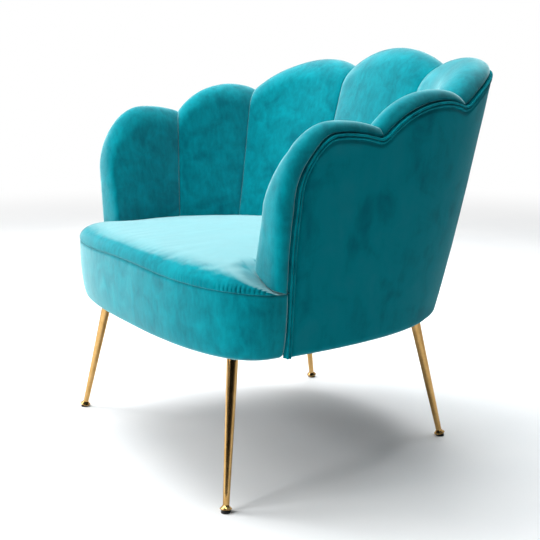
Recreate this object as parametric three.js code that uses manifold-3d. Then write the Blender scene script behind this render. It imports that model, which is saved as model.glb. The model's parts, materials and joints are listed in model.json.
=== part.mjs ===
// Scallop back chair: seven padded channels round a tub, tight crowned seat, splayed metal legs.
// Millimetres, +Z up. The chair faces -Y, and its origin is on the floor under its middle.
import * as THREE from "three";
import { mergeVertices } from "three/addons/utils/BufferGeometryUtils.js";
import Module from "manifold-3d";

const wasm = await Module();
wasm.setup();

// Driving dimensions of the body
const crestHeight = 816; // top of the middle channel
const armCrestHeight = 681; // top of the two front channels
const seamHeight = 398; // front seam between the seat and its apron
const apronHeight = 122; // from that seam down to the underside of the body
const armFrontSetback = 224; // from the origin forward to the line where the arms end
const bottomHalfWidth = 376; // outer face, half width at the bottom
const topHalfWidth = 418; // and at the height of the crest
const bottomBackDepth = 530; // arm line to the outer back at the bottom
const topBackDepth = 584; // and at the height of the crest
const apronDepth = 131; // arm line to the front of the apron
const seatHalfWidth = 336; // between the channel seams, at seat height
const seatBackDepth = 400; // arm line to the back seams, at seat height
const seatSideRise = 31; // above the seam, where the seat meets the channels
const seatCrownRise = 47; // above the seam, middle of the seat
const crestInnerHalfWidth = 386; // between the channel seams, at the height of the crest
const crestInnerBackDepth = 524; // arm line to the back seams, at the height of the crest

// Upholstery
const channelCrown = 16; // how far a channel swells between its seams
const seamGap = 0.35; // between a seam plane and the channel beside it
const crestInnerRoll = 46; // depth over which a channel rolls over the crest, seat side
const crestOuterRoll = 30; // and outer side
const armFrontRoll = 18; // and inwards round the arm fronts
const armFootSwell = 26; // how much thicker an arm front gets towards the seat
const armCornerRadius = 110; // round top corner of each arm front
const pipingDrop = 27; // from the crest down the outside to the piping
const pipingDiameter = 3.6;
const pipingClearance = 1.6;
const coverThickness = 8;
const apronThickness = 20;
const apronBulge = 7;
const apronEdgeTuck = 8; // how far the apron draws in at its lower edge
const cushionClearance = 2.5;

// Frame
const fit = 0.3; // between pieces that touch
const shellFit = 0.9; // between the curved layers of the shell
const blockFit = 1.7; // between the curved rails and the corner blocks
const shellBoardThickness = 11;
const railThickness = 25;
const railLift = 7; // above the underside of the body
const railHeight = 63;
const blockDepth = 68; // corner block, towards the middle of the seat
const blockHeight = 48;
const deckThickness = 1.2;
const dustCoverThickness = 1.2;

// Springs and their clips
const springCount = 4;
const springSpacing = 108;
const springWire = 3.6;
const springPitch = 37;
const springHalfWidth = 20;
const clipThickness = 1.2;
const clipWidth = 18;

// Legs, plates and levelling feet
const legFootFront = { across: 335, along: -312 }; // where the leg axis meets the floor
const legTopFront = { across: 279, along: -263 }; // where it meets the underside of the frame
const legFootBack = { across: 245, along: 265 };
const legTopBack = { across: 206, along: 209 };
const legTopDiameter = 22;
const legFootDiameter = 12;
const legWall = 1.6;
const legStudDiameter = 8;
const plateRadius = 22;
const plateThickness = 3;
const bossHeight = 15;
const bossWall = 4;
const footRimDiameter = 22.5;
const footNeckHeight = 12.5; // floor to the top of the foot, along the leg
const footRimHeight = 6.4;
const footRimBand = 1.2;
const footBottomHeight = 3.6;
const footStudDiameter = 6;
const footStudLength = 30;
const footThreadClearance = 0.35;
const padDiameter = 17.5;

// Powers of the rounded plan outlines: 2 is an ellipse, more is squarer
const bottomOutlinePower = 2.6;
const topOutlinePower = 4.4;
const seatOutlinePower = 2.5;
const crestInnerOutlinePower = 4;
const apronOutlinePower = 2.6;

// Angles about the middle of the arm line, from straight back towards the arm fronts, in degrees
const channelSeamAngles = [15.5, 42.5, 63.5];
const armFrontAngle = 92;

const bodyBottom = seamHeight - apronHeight;
const seatSideHeight = seamHeight + seatSideRise;
const seatCrownHeight = seamHeight + seatCrownRise;
const railBottom = bodyBottom + railLift;
const railTop = railBottom + railHeight;
const wallHeight = crestHeight - bodyBottom;
const armReach = (bottomHalfWidth + topHalfWidth) / 2;
const degree = Math.PI / 180;

const mix = THREE.MathUtils.lerp;
const clamp = THREE.MathUtils.clamp;

// Distance from the middle of the arm line to a rounded outline, in the direction of an angle
function outlineRadius(angle, halfWidth, depth, power) {
  const across = Math.abs(Math.sin(angle * degree)) / halfWidth;
  const along = Math.abs(Math.cos(angle * degree)) / depth;
  return Math.pow(Math.pow(across, power) + Math.pow(along, power), -1 / power);
}

// Outer face of the body at a height, drawn in by an inset
function outerRadius(angle, height, inset = 0) {
  const share = (height - bodyBottom) / wallHeight;
  const halfWidth = mix(bottomHalfWidth, topHalfWidth, share) - inset;
  if (Math.abs(angle) > 90) {
    return outlineRadius(angle, halfWidth, apronDepth - inset, apronOutlinePower);
  }
  const depth = mix(bottomBackDepth, topBackDepth, share) - inset;
  return outlineRadius(angle, halfWidth, depth, mix(bottomOutlinePower, topOutlinePower, share));
}

// Seam side of the channels at a height
function seamRadius(angle, height) {
  const share = (height - seatSideHeight) / (crestHeight - seatSideHeight);
  const halfWidth = mix(seatHalfWidth, crestInnerHalfWidth, share);
  const depth = mix(seatBackDepth, crestInnerBackDepth, share);
  const power = mix(seatOutlinePower, crestInnerOutlinePower, share);
  return outlineRadius(Math.min(Math.abs(angle), 90), halfWidth, depth, power);
}

function point(angle, radius, height) {
  const across = radius * Math.sin(angle * degree);
  const along = radius * Math.cos(angle * degree) - armFrontSetback;
  return new THREE.Vector3(across, along, height);
}

// Crest line: each channel is an arch between two seams that step up towards the back
const crestRise = crestHeight - armCrestHeight;
const seamCrestShares = [0.66, 0.28, -0.08]; // seam heights, from the arm crest up to the top
const archShares = [0.34, 0.3, 0.25, 0.18]; // arch of the middle channel, then outwards
const armFrontFall = 18; // how far the arm crest falls towards the front
const seamCrests = seamCrestShares.map((share) => armCrestHeight + crestRise * share);

function channelSpan(index) {
  const inner = index === 0 ? -channelSeamAngles[0] : channelSeamAngles[index - 1];
  const outer = index === channelSeamAngles.length ? armFrontAngle : channelSeamAngles[index];
  return { inner, outer };
}

function channelIndex(angle) {
  const size = Math.abs(angle);
  const index = channelSeamAngles.findIndex((seam) => size <= seam);
  return index < 0 ? channelSeamAngles.length : index;
}

function crest(angle) {
  const size = Math.abs(angle);
  const index = channelIndex(size);
  const { inner, outer } = channelSpan(index);
  const share = (size - inner) / (outer - inner);
  const from = seamCrests[Math.max(index - 1, 0)];
  const to = index === channelSeamAngles.length ? from - armFrontFall : seamCrests[index];
  const arch = 4 * share * (1 - share) * archShares[index] * crestRise;
  return mix(from, to, share) + arch;
}

// Distances measured on the shell: down from the crest, and back from the arm front
const girthPerDegree = armReach * degree;
const backFromFront = (angle) => (armFrontAngle - Math.abs(angle)) * girthPerDegree;

// Place on the shell of a column angle and a depth below the crest. Round the arm's top corner
// the square of columns and rows bends into a quarter disc, so that its lines follow the outline.
function shellPlace(column, depth) {
  const back = backFromFront(column);
  if (back >= armCornerRadius || depth >= armCornerRadius) {
    return { angle: column, drop: depth, frontness: back < armCornerRadius ? 1 : 0 };
  }
  const forward = 1 - back / armCornerRadius;
  const upward = 1 - depth / armCornerRadius;
  const reach = Math.max(forward, upward);
  const turn = forward >= upward ? upward / forward / 2 : 1 - forward / upward / 2;
  const bend = (turn * Math.PI) / 2;
  const newBack = armCornerRadius * (1 - reach * Math.cos(bend));
  const drop = armCornerRadius * (1 - reach * Math.sin(bend));
  const size = armFrontAngle - newBack / girthPerDegree;
  return { angle: Math.sign(column) * size, drop, frontness: Math.max(1 - 2 * turn, 0) };
}

// Rows below the crest, as depths
const ledgeStep = 1;
const pipingSlot = 2 * pipingDiameter + 3 * pipingClearance;
const coverDrop = pipingDrop + ledgeStep / 2 + pipingSlot;
const rollShares = [0, 0.11, 0.3, 0.62];
const rollDepths = rollShares.map((share) => crestOuterRoll * share);
const ledgeDepths = [pipingDrop - ledgeStep / 2, pipingDrop + ledgeStep / 2];
const innerDepths = [crestInnerRoll, (crestInnerRoll + armCornerRadius) / 2, armCornerRadius];
const shellDepths = [...rollDepths, ...ledgeDepths, ...innerDepths];
const backToAngle = (back) => armFrontAngle - back / girthPerDegree;

// Angles of the lattice columns across one channel, closer together at the seams
const columnsAcross = 6;
const leadShares = [0, 0.12, 0.45]; // of the front channel, before its round corner
function channelColumns(index) {
  const { inner, outer } = channelSpan(index);
  const clear = seamGap / girthPerDegree;
  const front = index === channelSeamAngles.length;
  const angles = [];
  for (let step = 0; step <= columnsAcross; step += 1) {
    const share = (1 - Math.cos((step / columnsAcross) * Math.PI)) / 2;
    angles.push(mix(inner + clear, outer - clear, share));
  }
  if (!front) return angles;
  const corner = shellDepths.map(backToAngle).reverse();
  const start = inner + clear;
  const first = corner[0];
  const lead = leadShares.map((share) => mix(start, first, share));
  return [...lead, ...corner];
}

function tidyGeometry(geometry) {
  geometry.deleteAttribute("normal");
  geometry.deleteAttribute("uv");
  return mergeVertices(geometry);
}

// Turns the diagonals of the inner face the same way as those of the outer one, so that the
// bent faces of neighbouring layers stay parallel
function matchDiagonals(geometry, columns, layers, rows) {
  const corners = geometry.index.array;
  const first = 2 * rows * layers + columns * rows;
  for (let quad = first; quad < first + columns * rows; quad += 1) {
    const [a, b, d, , c] = corners.slice(quad * 6, quad * 6 + 6);
    corners.set([a, b, c, a, c, d], quad * 6);
  }
}

// Closed block of columns, layers and rows, each corner placed by a function
function lattice(columns, layers, rows, place) {
  const geometry = tidyGeometry(new THREE.BoxGeometry(1, 1, 1, columns, layers, rows));
  matchDiagonals(geometry, columns, layers, rows);
  const spots = geometry.attributes.position;
  for (let index = 0; index < spots.count; index += 1) {
    const column = Math.round((spots.getX(index) + 1 / 2) * columns);
    const layer = Math.round((spots.getY(index) + 1 / 2) * layers);
    const row = Math.round((spots.getZ(index) + 1 / 2) * rows);
    const spot = place(column, layer, row);
    spots.setXYZ(index, spot.x, spot.y, spot.z);
  }
  return geometry;
}

// Booleans
function toSolid(geometry) {
  const vertProperties = Float32Array.from(geometry.attributes.position.array);
  const triVerts = Uint32Array.from(geometry.index.array);
  return new wasm.Manifold(new wasm.Mesh({ numProp: 3, vertProperties, triVerts }));
}

function toGeometry(solid) {
  const mesh = solid.getMesh();
  const geometry = new THREE.BufferGeometry();
  geometry.setAttribute("position", new THREE.BufferAttribute(mesh.vertProperties, 3));
  geometry.setIndex(new THREE.BufferAttribute(mesh.triVerts, 1));
  return geometry;
}

const subtract = (body, tool) => toGeometry(toSolid(body).subtract(toSolid(tool)));
const join = (body, other) => toGeometry(toSolid(body).add(toSolid(other)));

// Materials, by what each piece is made of
const finishes = {
  velvet: { color: "#0a8794", roughness: 0.85, metalness: 0 },
  piping: { color: "#0a7d8a", roughness: 0.85, metalness: 0 },
  foam: { color: "#e8dfb8", roughness: 0.95, metalness: 0 },
  plywood: { color: "#c9a873", roughness: 0.7, metalness: 0 },
  timber: { color: "#b98f5c", roughness: 0.7, metalness: 0 },
  steel: { color: "#8e9296", roughness: 0.4, metalness: 1 },
  gold: { color: "#d9b36c", roughness: 0.18, metalness: 1 },
  rubber: { color: "#16171a", roughness: 0.7, metalness: 0 },
  cambric: { color: "#1d1e21", roughness: 0.95, metalness: 0 },
};

const group = new THREE.Group();
function piece(name, geometry, finish) {
  const mesh = new THREE.Mesh(geometry, new THREE.MeshStandardMaterial(finishes[finish]));
  mesh.name = name;
  group.add(mesh);
  return mesh;
}

// Angles where the arm front's underside starts and ends
const cushionFrontStart = backToAngle(pipingDrop - ledgeStep / 2);
const frontStart = armFrontAngle + 1;
const underArm = (angle) => Math.abs(angle) > cushionFrontStart && Math.abs(angle) <= frontStart;

// Swell of a channel between its seams, as a share
function crownShare(angle) {
  const size = Math.abs(angle);
  const index = channelIndex(size);
  const { inner, outer } = channelSpan(index);
  const middle = index === 0 ? 0 : (inner + outer) / 2;
  if (index === channelSeamAngles.length && size > middle) return 1;
  const away = index === 0 ? size / outer : Math.abs(size - middle) / (outer - middle);
  return Math.sqrt(Math.max(1 - Math.min(away, 1) ** 2, 0));
}

// The channels flatten where the seat presses against them
const seatPressHeight = 60;
const pressedShare = 0.3; // of the crown left there
const armSwellPower = 1.5;
function channelFace(angle, height) {
  const size = Math.abs(angle);
  const press = clamp((height - seamHeight) / seatPressHeight, 0, 1);
  const [armStart] = channelSeamAngles.slice(-1);
  const along = clamp((size - armStart) / (armFrontAngle - armStart), 0, 1) ** 2;
  const down = clamp((armCrestHeight - height) / (armCrestHeight - seatSideHeight), 0, 1);
  const crown = channelCrown * crownShare(angle) * mix(mix(pressedShare, 1, along), 1, press);
  return seamRadius(angle, height) - crown - armFootSwell * along * down ** armSwellPower;
}

const seatEdgeRadius = (angle, height) => channelFace(angle, height) - cushionClearance;

// Top of the seat: flat in the middle, falling towards its edge
const crownPower = 3;
const seatLip = 3; // left above the seam at the front
function seatTop(angle, radius) {
  const size = Math.abs(angle);
  if (size <= cushionFrontStart) {
    const share = radius / seatEdgeRadius(angle, seatSideHeight);
    return mix(seatCrownHeight, seatSideHeight, share ** crownPower);
  }
  const share = radius / outerRadius(angle, seamHeight);
  return mix(seatCrownHeight, seamHeight + seatLip, share ** crownPower);
}

// Under each arm front the seat slopes in a straight line from the seat side to the piping
const armSeatRise = 30;
function underArmHeight(angle, radius) {
  const from = seatHalfWidth - channelCrown;
  const share = clamp((radius - from) / (outerRadius(angle, seamHeight) - from), 0, 1);
  return mix(seamHeight + armSeatRise, seamHeight + seatLip, share);
}

// Channels
const boardInset = coverThickness + shellFit;
const channelInset = boardInset + shellBoardThickness + shellFit;
const deckBottom = railTop + fit + clipThickness + fit + springWire + fit + clipThickness + fit;
const deckTop = deckBottom + deckThickness;
const padBottom = deckTop + fit;
const crestFlatShare = 0.12; // of the wall left at the very crest
const armFlatShare = 0.4; // and at the arm fronts
const crestPlaceShare = 0.58; // of the wall, from the seat side to the crest line

function rolled(face, middle, distance, roll, flatShare) {
  const depthShare = clamp(1 - distance / roll, 0, 1);
  const share = Math.max(Math.sqrt(1 - depthShare ** 2), flatShare);
  return mix(middle, face, share);
}

// Rows below the arm's round corner, from the top down
const pressTop = seamHeight + seatPressHeight;
const rowNames = ["middle", "press", "seam", "pad", "bottom"];
const lowRow = (name) => ({ depth: armCornerRadius, name });
const depthRow = (depth) => ({ depth, name: "" });

function rowHeight(row, angle, drop, bottom) {
  const start = crest(angle) - drop;
  const level = Math.max(bottom, padBottom);
  if (row.name === "middle") return (start + pressTop) / 2;
  if (row.name === "press") return pressTop;
  if (row.name === "seam") return bottom < seamHeight ? seamHeight : (pressTop + bottom) / 2;
  if (row.name === "pad") return level;
  if (row.name === "bottom") return bottom;
  return start;
}

function channelPoint(column, row, outer) {
  const { angle, drop, frontness } = shellPlace(column, row.depth);
  const distance = Math.min(backFromFront(column), row.depth);
  const innerRoll = mix(crestInnerRoll, armFrontRoll, frontness);
  const flatShare = mix(crestFlatShare, armFlatShare, frontness);
  const onFront = backFromFront(column) < pipingDrop;
  const radius = (height) => {
    const inside = channelFace(angle, height);
    const middle = mix(inside, outerRadius(angle, height), crestPlaceShare);
    if (!outer) return rolled(inside, middle, distance, innerRoll, flatShare);
    const wall = outerRadius(angle, height, distance < pipingDrop ? 0 : channelInset);
    return rolled(wall, middle, distance, crestOuterRoll, flatShare);
  };
  const underside = underArmHeight(angle, radius(seamHeight)) + cushionClearance;
  const height = rowHeight(row, angle, drop, onFront ? underside : padBottom);
  return point(angle, radius(height), height);
}

const channelRows = [...shellDepths.map(depthRow), ...rowNames.slice(0, -1).map(lowRow)].reverse();

function channel(index, side) {
  const angles = channelColumns(index).map((angle) => angle * side);
  if (side < 0) angles.reverse();
  return lattice(angles.length - 1, 1, channelRows.length - 1, (column, layer, row) =>
    channelPoint(angles[column], channelRows[row], layer === 1),
  );
}

// Columns all the way round the shell, from one arm front to the other
const halfRound = [1, 2, 3].flatMap((index) => channelColumns(index));
const middleColumns = channelColumns(0);
const allColumns = [...halfRound.map((angle) => -angle).reverse(), ...middleColumns, ...halfRound];

const places = [-3, -2, -1, 0, 1, 2, 3];
places.forEach((place, order) => {
  const geometry = channel(Math.abs(place), Math.sign(place) || 1);
  piece(`back_channel_${order + 1}`, geometry, "velvet");
});

// A wall that follows the shell, between two insets and two column angles
const wallDepths = innerDepths.slice(1);
const leastColumnAngle = 0.5;

function spanAngles(grid, from, to) {
  const inside = grid.filter((angle) => angle > from + leastColumnAngle && angle < to - leastColumnAngle);
  const isApart = (angle, order) => order === 0 || angle - inside[order - 1] > leastColumnAngle;
  const apart = inside.filter(isApart);
  return [from, ...apart, to];
}

function shellWall(from, to, topDrop, bottom, outerInset, innerInset) {
  const limit = backToAngle(topDrop);
  const angles = spanAngles(allColumns, Math.max(from, -limit), Math.min(to, limit));
  const rows = [topDrop, ...wallDepths].map(depthRow).concat(rowNames.map(lowRow)).reverse();
  return lattice(angles.length - 1, 1, rows.length - 1, (column, layer, step) => {
    const { angle, drop } = shellPlace(angles[column], rows[step].depth);
    const height = rowHeight(rows[step], angle, drop, bottom);
    return point(angle, outerRadius(angle, height, layer === 1 ? outerInset : innerInset), height);
  });
}

const shellEnd = armFrontAngle;
const panelSplit = channelSeamAngles[1];
const splitGap = fit / girthPerDegree;
const boardOuter = boardInset;
const boardInner = boardInset + shellBoardThickness;
const cover = shellWall(-shellEnd, shellEnd, coverDrop, bodyBottom, 0, coverThickness);
piece("outside_cover", cover, "velvet");
const boards = [
  ["shell_board_left", -shellEnd, -panelSplit - splitGap],
  ["shell_board_back", -panelSplit + splitGap, panelSplit - splitGap],
  ["shell_board_right", panelSplit + splitGap, shellEnd],
];
for (const [name, from, to] of boards) {
  piece(name, shellWall(from, to, coverDrop, railBottom, boardOuter, boardInner), "plywood");
}

// Piping: two cords side by side in the slot between the channels and the outside cover
const pipingSides = 5;
const pipingProud = 1;
const pipingLowShares = [1, 0.6, 0.3];

function pipingSpot(column, depth, share) {
  const { angle, drop } = shellPlace(column, depth);
  const low = mix(crest(angle) - armCornerRadius, bodyBottom, share);
  const height = share > 0 ? low : crest(angle) - drop;
  return point(angle, outerRadius(angle, height) + pipingProud - pipingDiameter / 2, height);
}

function pipingPath(distance) {
  const column = backToAngle(distance);
  const climb = pipingLowShares.map((share) => pipingSpot(column, armCornerRadius, share));
  const corner = shellDepths
    .filter((depth) => depth > distance)
    .reverse()
    .map((depth) => pipingSpot(column, depth, 0));
  const behind = halfRound.filter((angle) => angle <= column);
  const over = behind.map((angle) => pipingSpot(angle, distance, 0));
  const half = [...climb, ...corner, pipingSpot(column, distance, 0), ...over.reverse()];
  const other = half.map((spot) => new THREE.Vector3(-spot.x, spot.y, spot.z)).reverse();
  const middle = middleColumns.map((angle) => pipingSpot(-angle, distance, 0));
  return [...half, ...middle, ...other];
}

function cord(path, diameter, sides, outward) {
  const geometry = tidyGeometry(new THREE.CylinderGeometry(1, 1, 1, sides, path.length - 1));
  const spots = geometry.attributes.position;
  const frames = path.map((spot, index) => {
    const before = path[Math.max(index - 1, 0)];
    const after = path[Math.min(index + 1, path.length - 1)];
    const along = after.clone().sub(before).normalize();
    const side = along.clone().cross(outward(spot)).normalize();
    return { side, lift: side.clone().cross(along) };
  });
  for (let index = 0; index < spots.count; index += 1) {
    const step = Math.round((spots.getY(index) + 1 / 2) * (path.length - 1));
    const { side, lift } = frames[step];
    const spot = path[step].clone();
    spot.addScaledVector(lift, (spots.getZ(index) * diameter) / 2);
    spot.addScaledVector(side, (spots.getX(index) * diameter) / 2);
    spots.setXYZ(index, spot.x, spot.y, spot.z);
  }
  return geometry;
}

const fromArmLine = (spot) => new THREE.Vector3(spot.x, spot.y + armFrontSetback, 0).normalize();
const pipingFirst = pipingDrop + ledgeStep / 2 + pipingClearance + pipingDiameter / 2;
const pipingSecond = pipingFirst + pipingDiameter + pipingClearance;
piece("piping_inner", cord(pipingPath(pipingFirst), pipingDiameter, pipingSides, fromArmLine), "piping");
piece("piping_outer", cord(pipingPath(pipingSecond), pipingDiameter, pipingSides, fromArmLine), "piping");

// Angles round the front of the seat, even along the outline, from one arm front to the other
const frontSteps = 22;
const leastStep = 2;
function frontAngles() {
  const angles = [];
  for (let step = 0; step <= frontSteps; step += 1) {
    const turn = (step / frontSteps) * Math.PI;
    const power = 2 / apronOutlinePower;
    const side = Math.sign(Math.cos(turn));
    const across = bottomHalfWidth * side * Math.abs(Math.cos(turn)) ** power;
    const along = apronDepth * Math.sin(turn) ** power;
    const angle = 90 + Math.atan2(along, across) / degree;
    if (Math.abs(180 - angle) < 180 - frontStart - leastStep) angles.push(angle);
  }
  return [frontStart, ...angles, 360 - frontStart];
}

// Apron: padded band below the front seam
const apronStart = cushionFrontStart + (4 * fit) / girthPerDegree;
const apronRows = 5;
const apronTuckShare = 0.25; // of the apron's height, over which its lower edge draws in
const apronAngles = [apronStart, ...frontAngles(), 360 - apronStart];
function apronInset(share) {
  const swell = apronBulge * Math.sin(share * Math.PI);
  const tuck = apronEdgeTuck * Math.max(1 - share / apronTuckShare, 0) ** 2;
  const ends = apronBulge / 2;
  return tuck - swell + ends;
}
piece(
  "seat_apron",
  lattice(apronAngles.length - 1, 1, apronRows, (column, layer, row) => {
    const share = row / apronRows;
    const height = mix(bodyBottom, seamHeight - fit, share);
    const inset = layer === 1 ? apronInset(share) : apronThickness;
    return point(apronAngles[column], outerRadius(apronAngles[column], height, inset), height);
  }),
  "velvet",
);

// Seat: rings from the middle out to the edge, over the foam and the apron
const seatRings = [0, 0.45, 0.7, 0.86, 0.95, 1];
const halfSeatAngles = [...channelColumns(1), ...channelColumns(2), ...channelColumns(3)].filter(
  (angle) => angle < cushionFrontStart - 1,
);
const seatStep = cushionFrontStart + (2 * fit) / girthPerDegree;
const seatInnerEnd = cushionFrontStart + fit / girthPerDegree;
const seatFrontHalf = [apronStart, ...frontAngles()].filter((angle) => angle < 180 - leastStep / 2);
const seatHalf = [...halfSeatAngles, seatInnerEnd, ...seatFrontHalf];
const otherHalf = seatHalf.map((angle) => 360 - angle).reverse();
const seatAngles = [...middleColumns, ...seatHalf, 180, ...otherHalf];

function seatPlace(order, ring, level) {
  const turn = seatAngles[order % seatAngles.length];
  const angle = turn > 180 ? turn - 360 : turn;
  const size = Math.abs(angle);
  const inFront = size > seatStep;
  const base = level === 0;
  const edgeHeight = base || inFront ? seamHeight : seatSideHeight;
  const edge = inFront ? outerRadius(angle, seamHeight) : seatEdgeRadius(angle, edgeHeight);
  const radius = edge * ring;
  if (base) return point(angle, radius, seamHeight);
  const top = seatTop(angle, radius);
  const height = underArm(angle) ? Math.min(top, underArmHeight(angle, radius)) : top;
  return point(angle, radius, height);
}

function ringed(angles, rings, place) {
  const profile = [...rings.map((ring) => new THREE.Vector2(ring, 0))];
  profile.push(...rings.map((ring) => new THREE.Vector2(ring, 1)).reverse());
  const geometry = tidyGeometry(new THREE.LatheGeometry(profile, angles.length));
  const spots = geometry.attributes.position;
  for (let index = 0; index < spots.count; index += 1) {
    const ring = Math.hypot(spots.getX(index), spots.getZ(index));
    const turn = Math.atan2(spots.getX(index), spots.getZ(index)) / (2 * Math.PI);
    const order = Math.round((1 - turn) * angles.length) % angles.length;
    const near = rings.toSorted((a, b) => Math.abs(a - ring) - Math.abs(b - ring))[0];
    const spot = place(order, near, Math.round(spots.getY(index)));
    spots.setXYZ(index, spot.x, spot.y, spot.z);
  }
  return geometry;
}
piece("seat_cushion", ringed(seatAngles, seatRings, seatPlace), "velvet");

// Foam under the seat, between the channels and the apron
const foamRings = [0, 1];
piece(
  "seat_foam",
  ringed(seatAngles, foamRings, (order, ring, level) => {
    const turn = seatAngles[order];
    const angle = turn > 180 ? turn - 360 : turn;
    const height = level === 0 ? padBottom : seamHeight - fit;
    const inFront = Math.abs(angle) > seatStep;
    const edge = inFront
      ? outerRadius(angle, bodyBottom, apronThickness + fit)
      : Math.min(channelFace(angle, padBottom), channelFace(angle, seamHeight)) - cushionClearance;
    return point(angle, edge * ring, height);
  }),
  "foam",
);

// Frame rails: a ring of four curved rails under the seat
const railJointLead = 7;
const railOuter = apronThickness + shellFit;
const railInner = railOuter + railThickness;
const frontLegAngle = 90 + Math.atan2(-legTopFront.along - armFrontSetback, legTopFront.across) / degree;
const backLegAngle = Math.atan2(legTopBack.across, legTopBack.along + armFrontSetback) / degree;
const railJointFront = frontLegAngle + railJointLead; // past the leg, towards the front
const railJointBack = backLegAngle + 2 * railJointLead; // past the leg, towards the side

const sideGrid = allColumns.filter((angle) => angle >= 0 && angle < cushionFrontStart);
const halfGrid = [...sideGrid, ...frontAngles().filter((angle) => angle < 180)];
const ringGrid = [...halfGrid.slice(1).map((angle) => -angle).reverse(), ...halfGrid];
const fullGrid = [...ringGrid, ...ringGrid.map((angle) => angle + 360).filter((angle) => angle > 180)];

function ringBlock(from, to, bottom, top, outside, inside) {
  const angles = spanAngles(fullGrid, from, to);
  return lattice(angles.length - 1, 1, 1, (column, layer, row) => {
    const angle = angles[column];
    const height = row === 1 ? top : bottom;
    return point(angle, layer === 1 ? outside(angle) : inside(angle), height);
  });
}

const railOutside = (angle) => outerRadius(angle, railBottom, railOuter);
const railInside = (angle) => outerRadius(angle, railBottom, railInner);
const blockInside = (angle) => railInside(angle) - blockDepth;
const railGap = fit / girthPerDegree;
const blockHalfWidth = 42;

// Legs: places, directions and local frames
const corners = [
  ["front_left", -1, legFootFront, legTopFront, frontLegAngle],
  ["front_right", 1, legFootFront, legTopFront, frontLegAngle],
  ["back_left", -1, legFootBack, legTopBack, backLegAngle],
  ["back_right", 1, legFootBack, legTopBack, backLegAngle],
];

function legFrame(side, foot, top) {
  const start = new THREE.Vector3(side * foot.across, foot.along, 0);
  const end = new THREE.Vector3(side * top.across, top.along, railBottom);
  const axis = end.clone().sub(start).normalize();
  const turn = new THREE.Quaternion().setFromUnitVectors(new THREE.Vector3(0, 1, 0), axis);
  return { start, axis, turn, length: end.distanceTo(start) };
}

const lathe = (points, segments) =>
  tidyGeometry(new THREE.LatheGeometry(points.map(([x, y]) => new THREE.Vector2(x, y)), segments));

function onLeg(geometry, frame) {
  geometry.applyQuaternion(frame.turn);
  geometry.translate(frame.start.x, frame.start.y, frame.start.z);
  return geometry;
}

const roundSides = 12;
const plateSides = 20;
const bossRadius = legStudDiameter / 2 + bossWall;
const holeOverrun = 1;

function alongLeg(radius, from, to, frame) {
  const rod = tidyGeometry(new THREE.CylinderGeometry(radius, radius, to - from, roundSides));
  rod.translate(0, (from + to) / 2, 0);
  return onLeg(rod, frame);
}

const legFrames = corners.map(([, side, foot, top]) => legFrame(side, foot, top));
const drilled = (geometry, picks) =>
  picks.reduce((body, pick) => {
    const frame = legFrames[pick];
    const hole = bossRadius + fit;
    const from = frame.length - plateThickness;
    return subtract(body, alongLeg(hole, from, frame.length + bossHeight + holeOverrun, frame));
  }, geometry);

const rail = (from, to) => ringBlock(from, to, railBottom, railTop, railOutside, railInside);
const sideFrom = railJointBack + railGap;
const sideTo = railJointFront - railGap;
piece("rail_front", drilled(rail(railJointFront, 360 - railJointFront), [0, 1]), "timber");
piece("rail_back", drilled(rail(-railJointBack, railJointBack), [2, 3]), "timber");
piece("rail_left", drilled(rail(-sideTo, -sideFrom), [0, 2]), "timber");
piece("rail_right", drilled(rail(sideFrom, sideTo), [1, 3]), "timber");

corners.forEach(([name, side, , , legAngle], order) => {
  const frame = legFrames[order];
  const half = blockHalfAngle(legAngle);
  const from = side * legAngle - half;
  const block = ringBlock(
    from,
    from + 2 * half,
    railBottom,
    railBottom + blockHeight,
    (angle) => railInside(angle) - blockFit,
    blockInside,
  );
  piece(`corner_block_${name}`, drilled(block, [order]), "timber");
  buildLeg(name, frame);
});

function blockHalfAngle(legAngle) {
  return Math.asin(blockHalfWidth / railInside(legAngle)) / degree;
}

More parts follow.
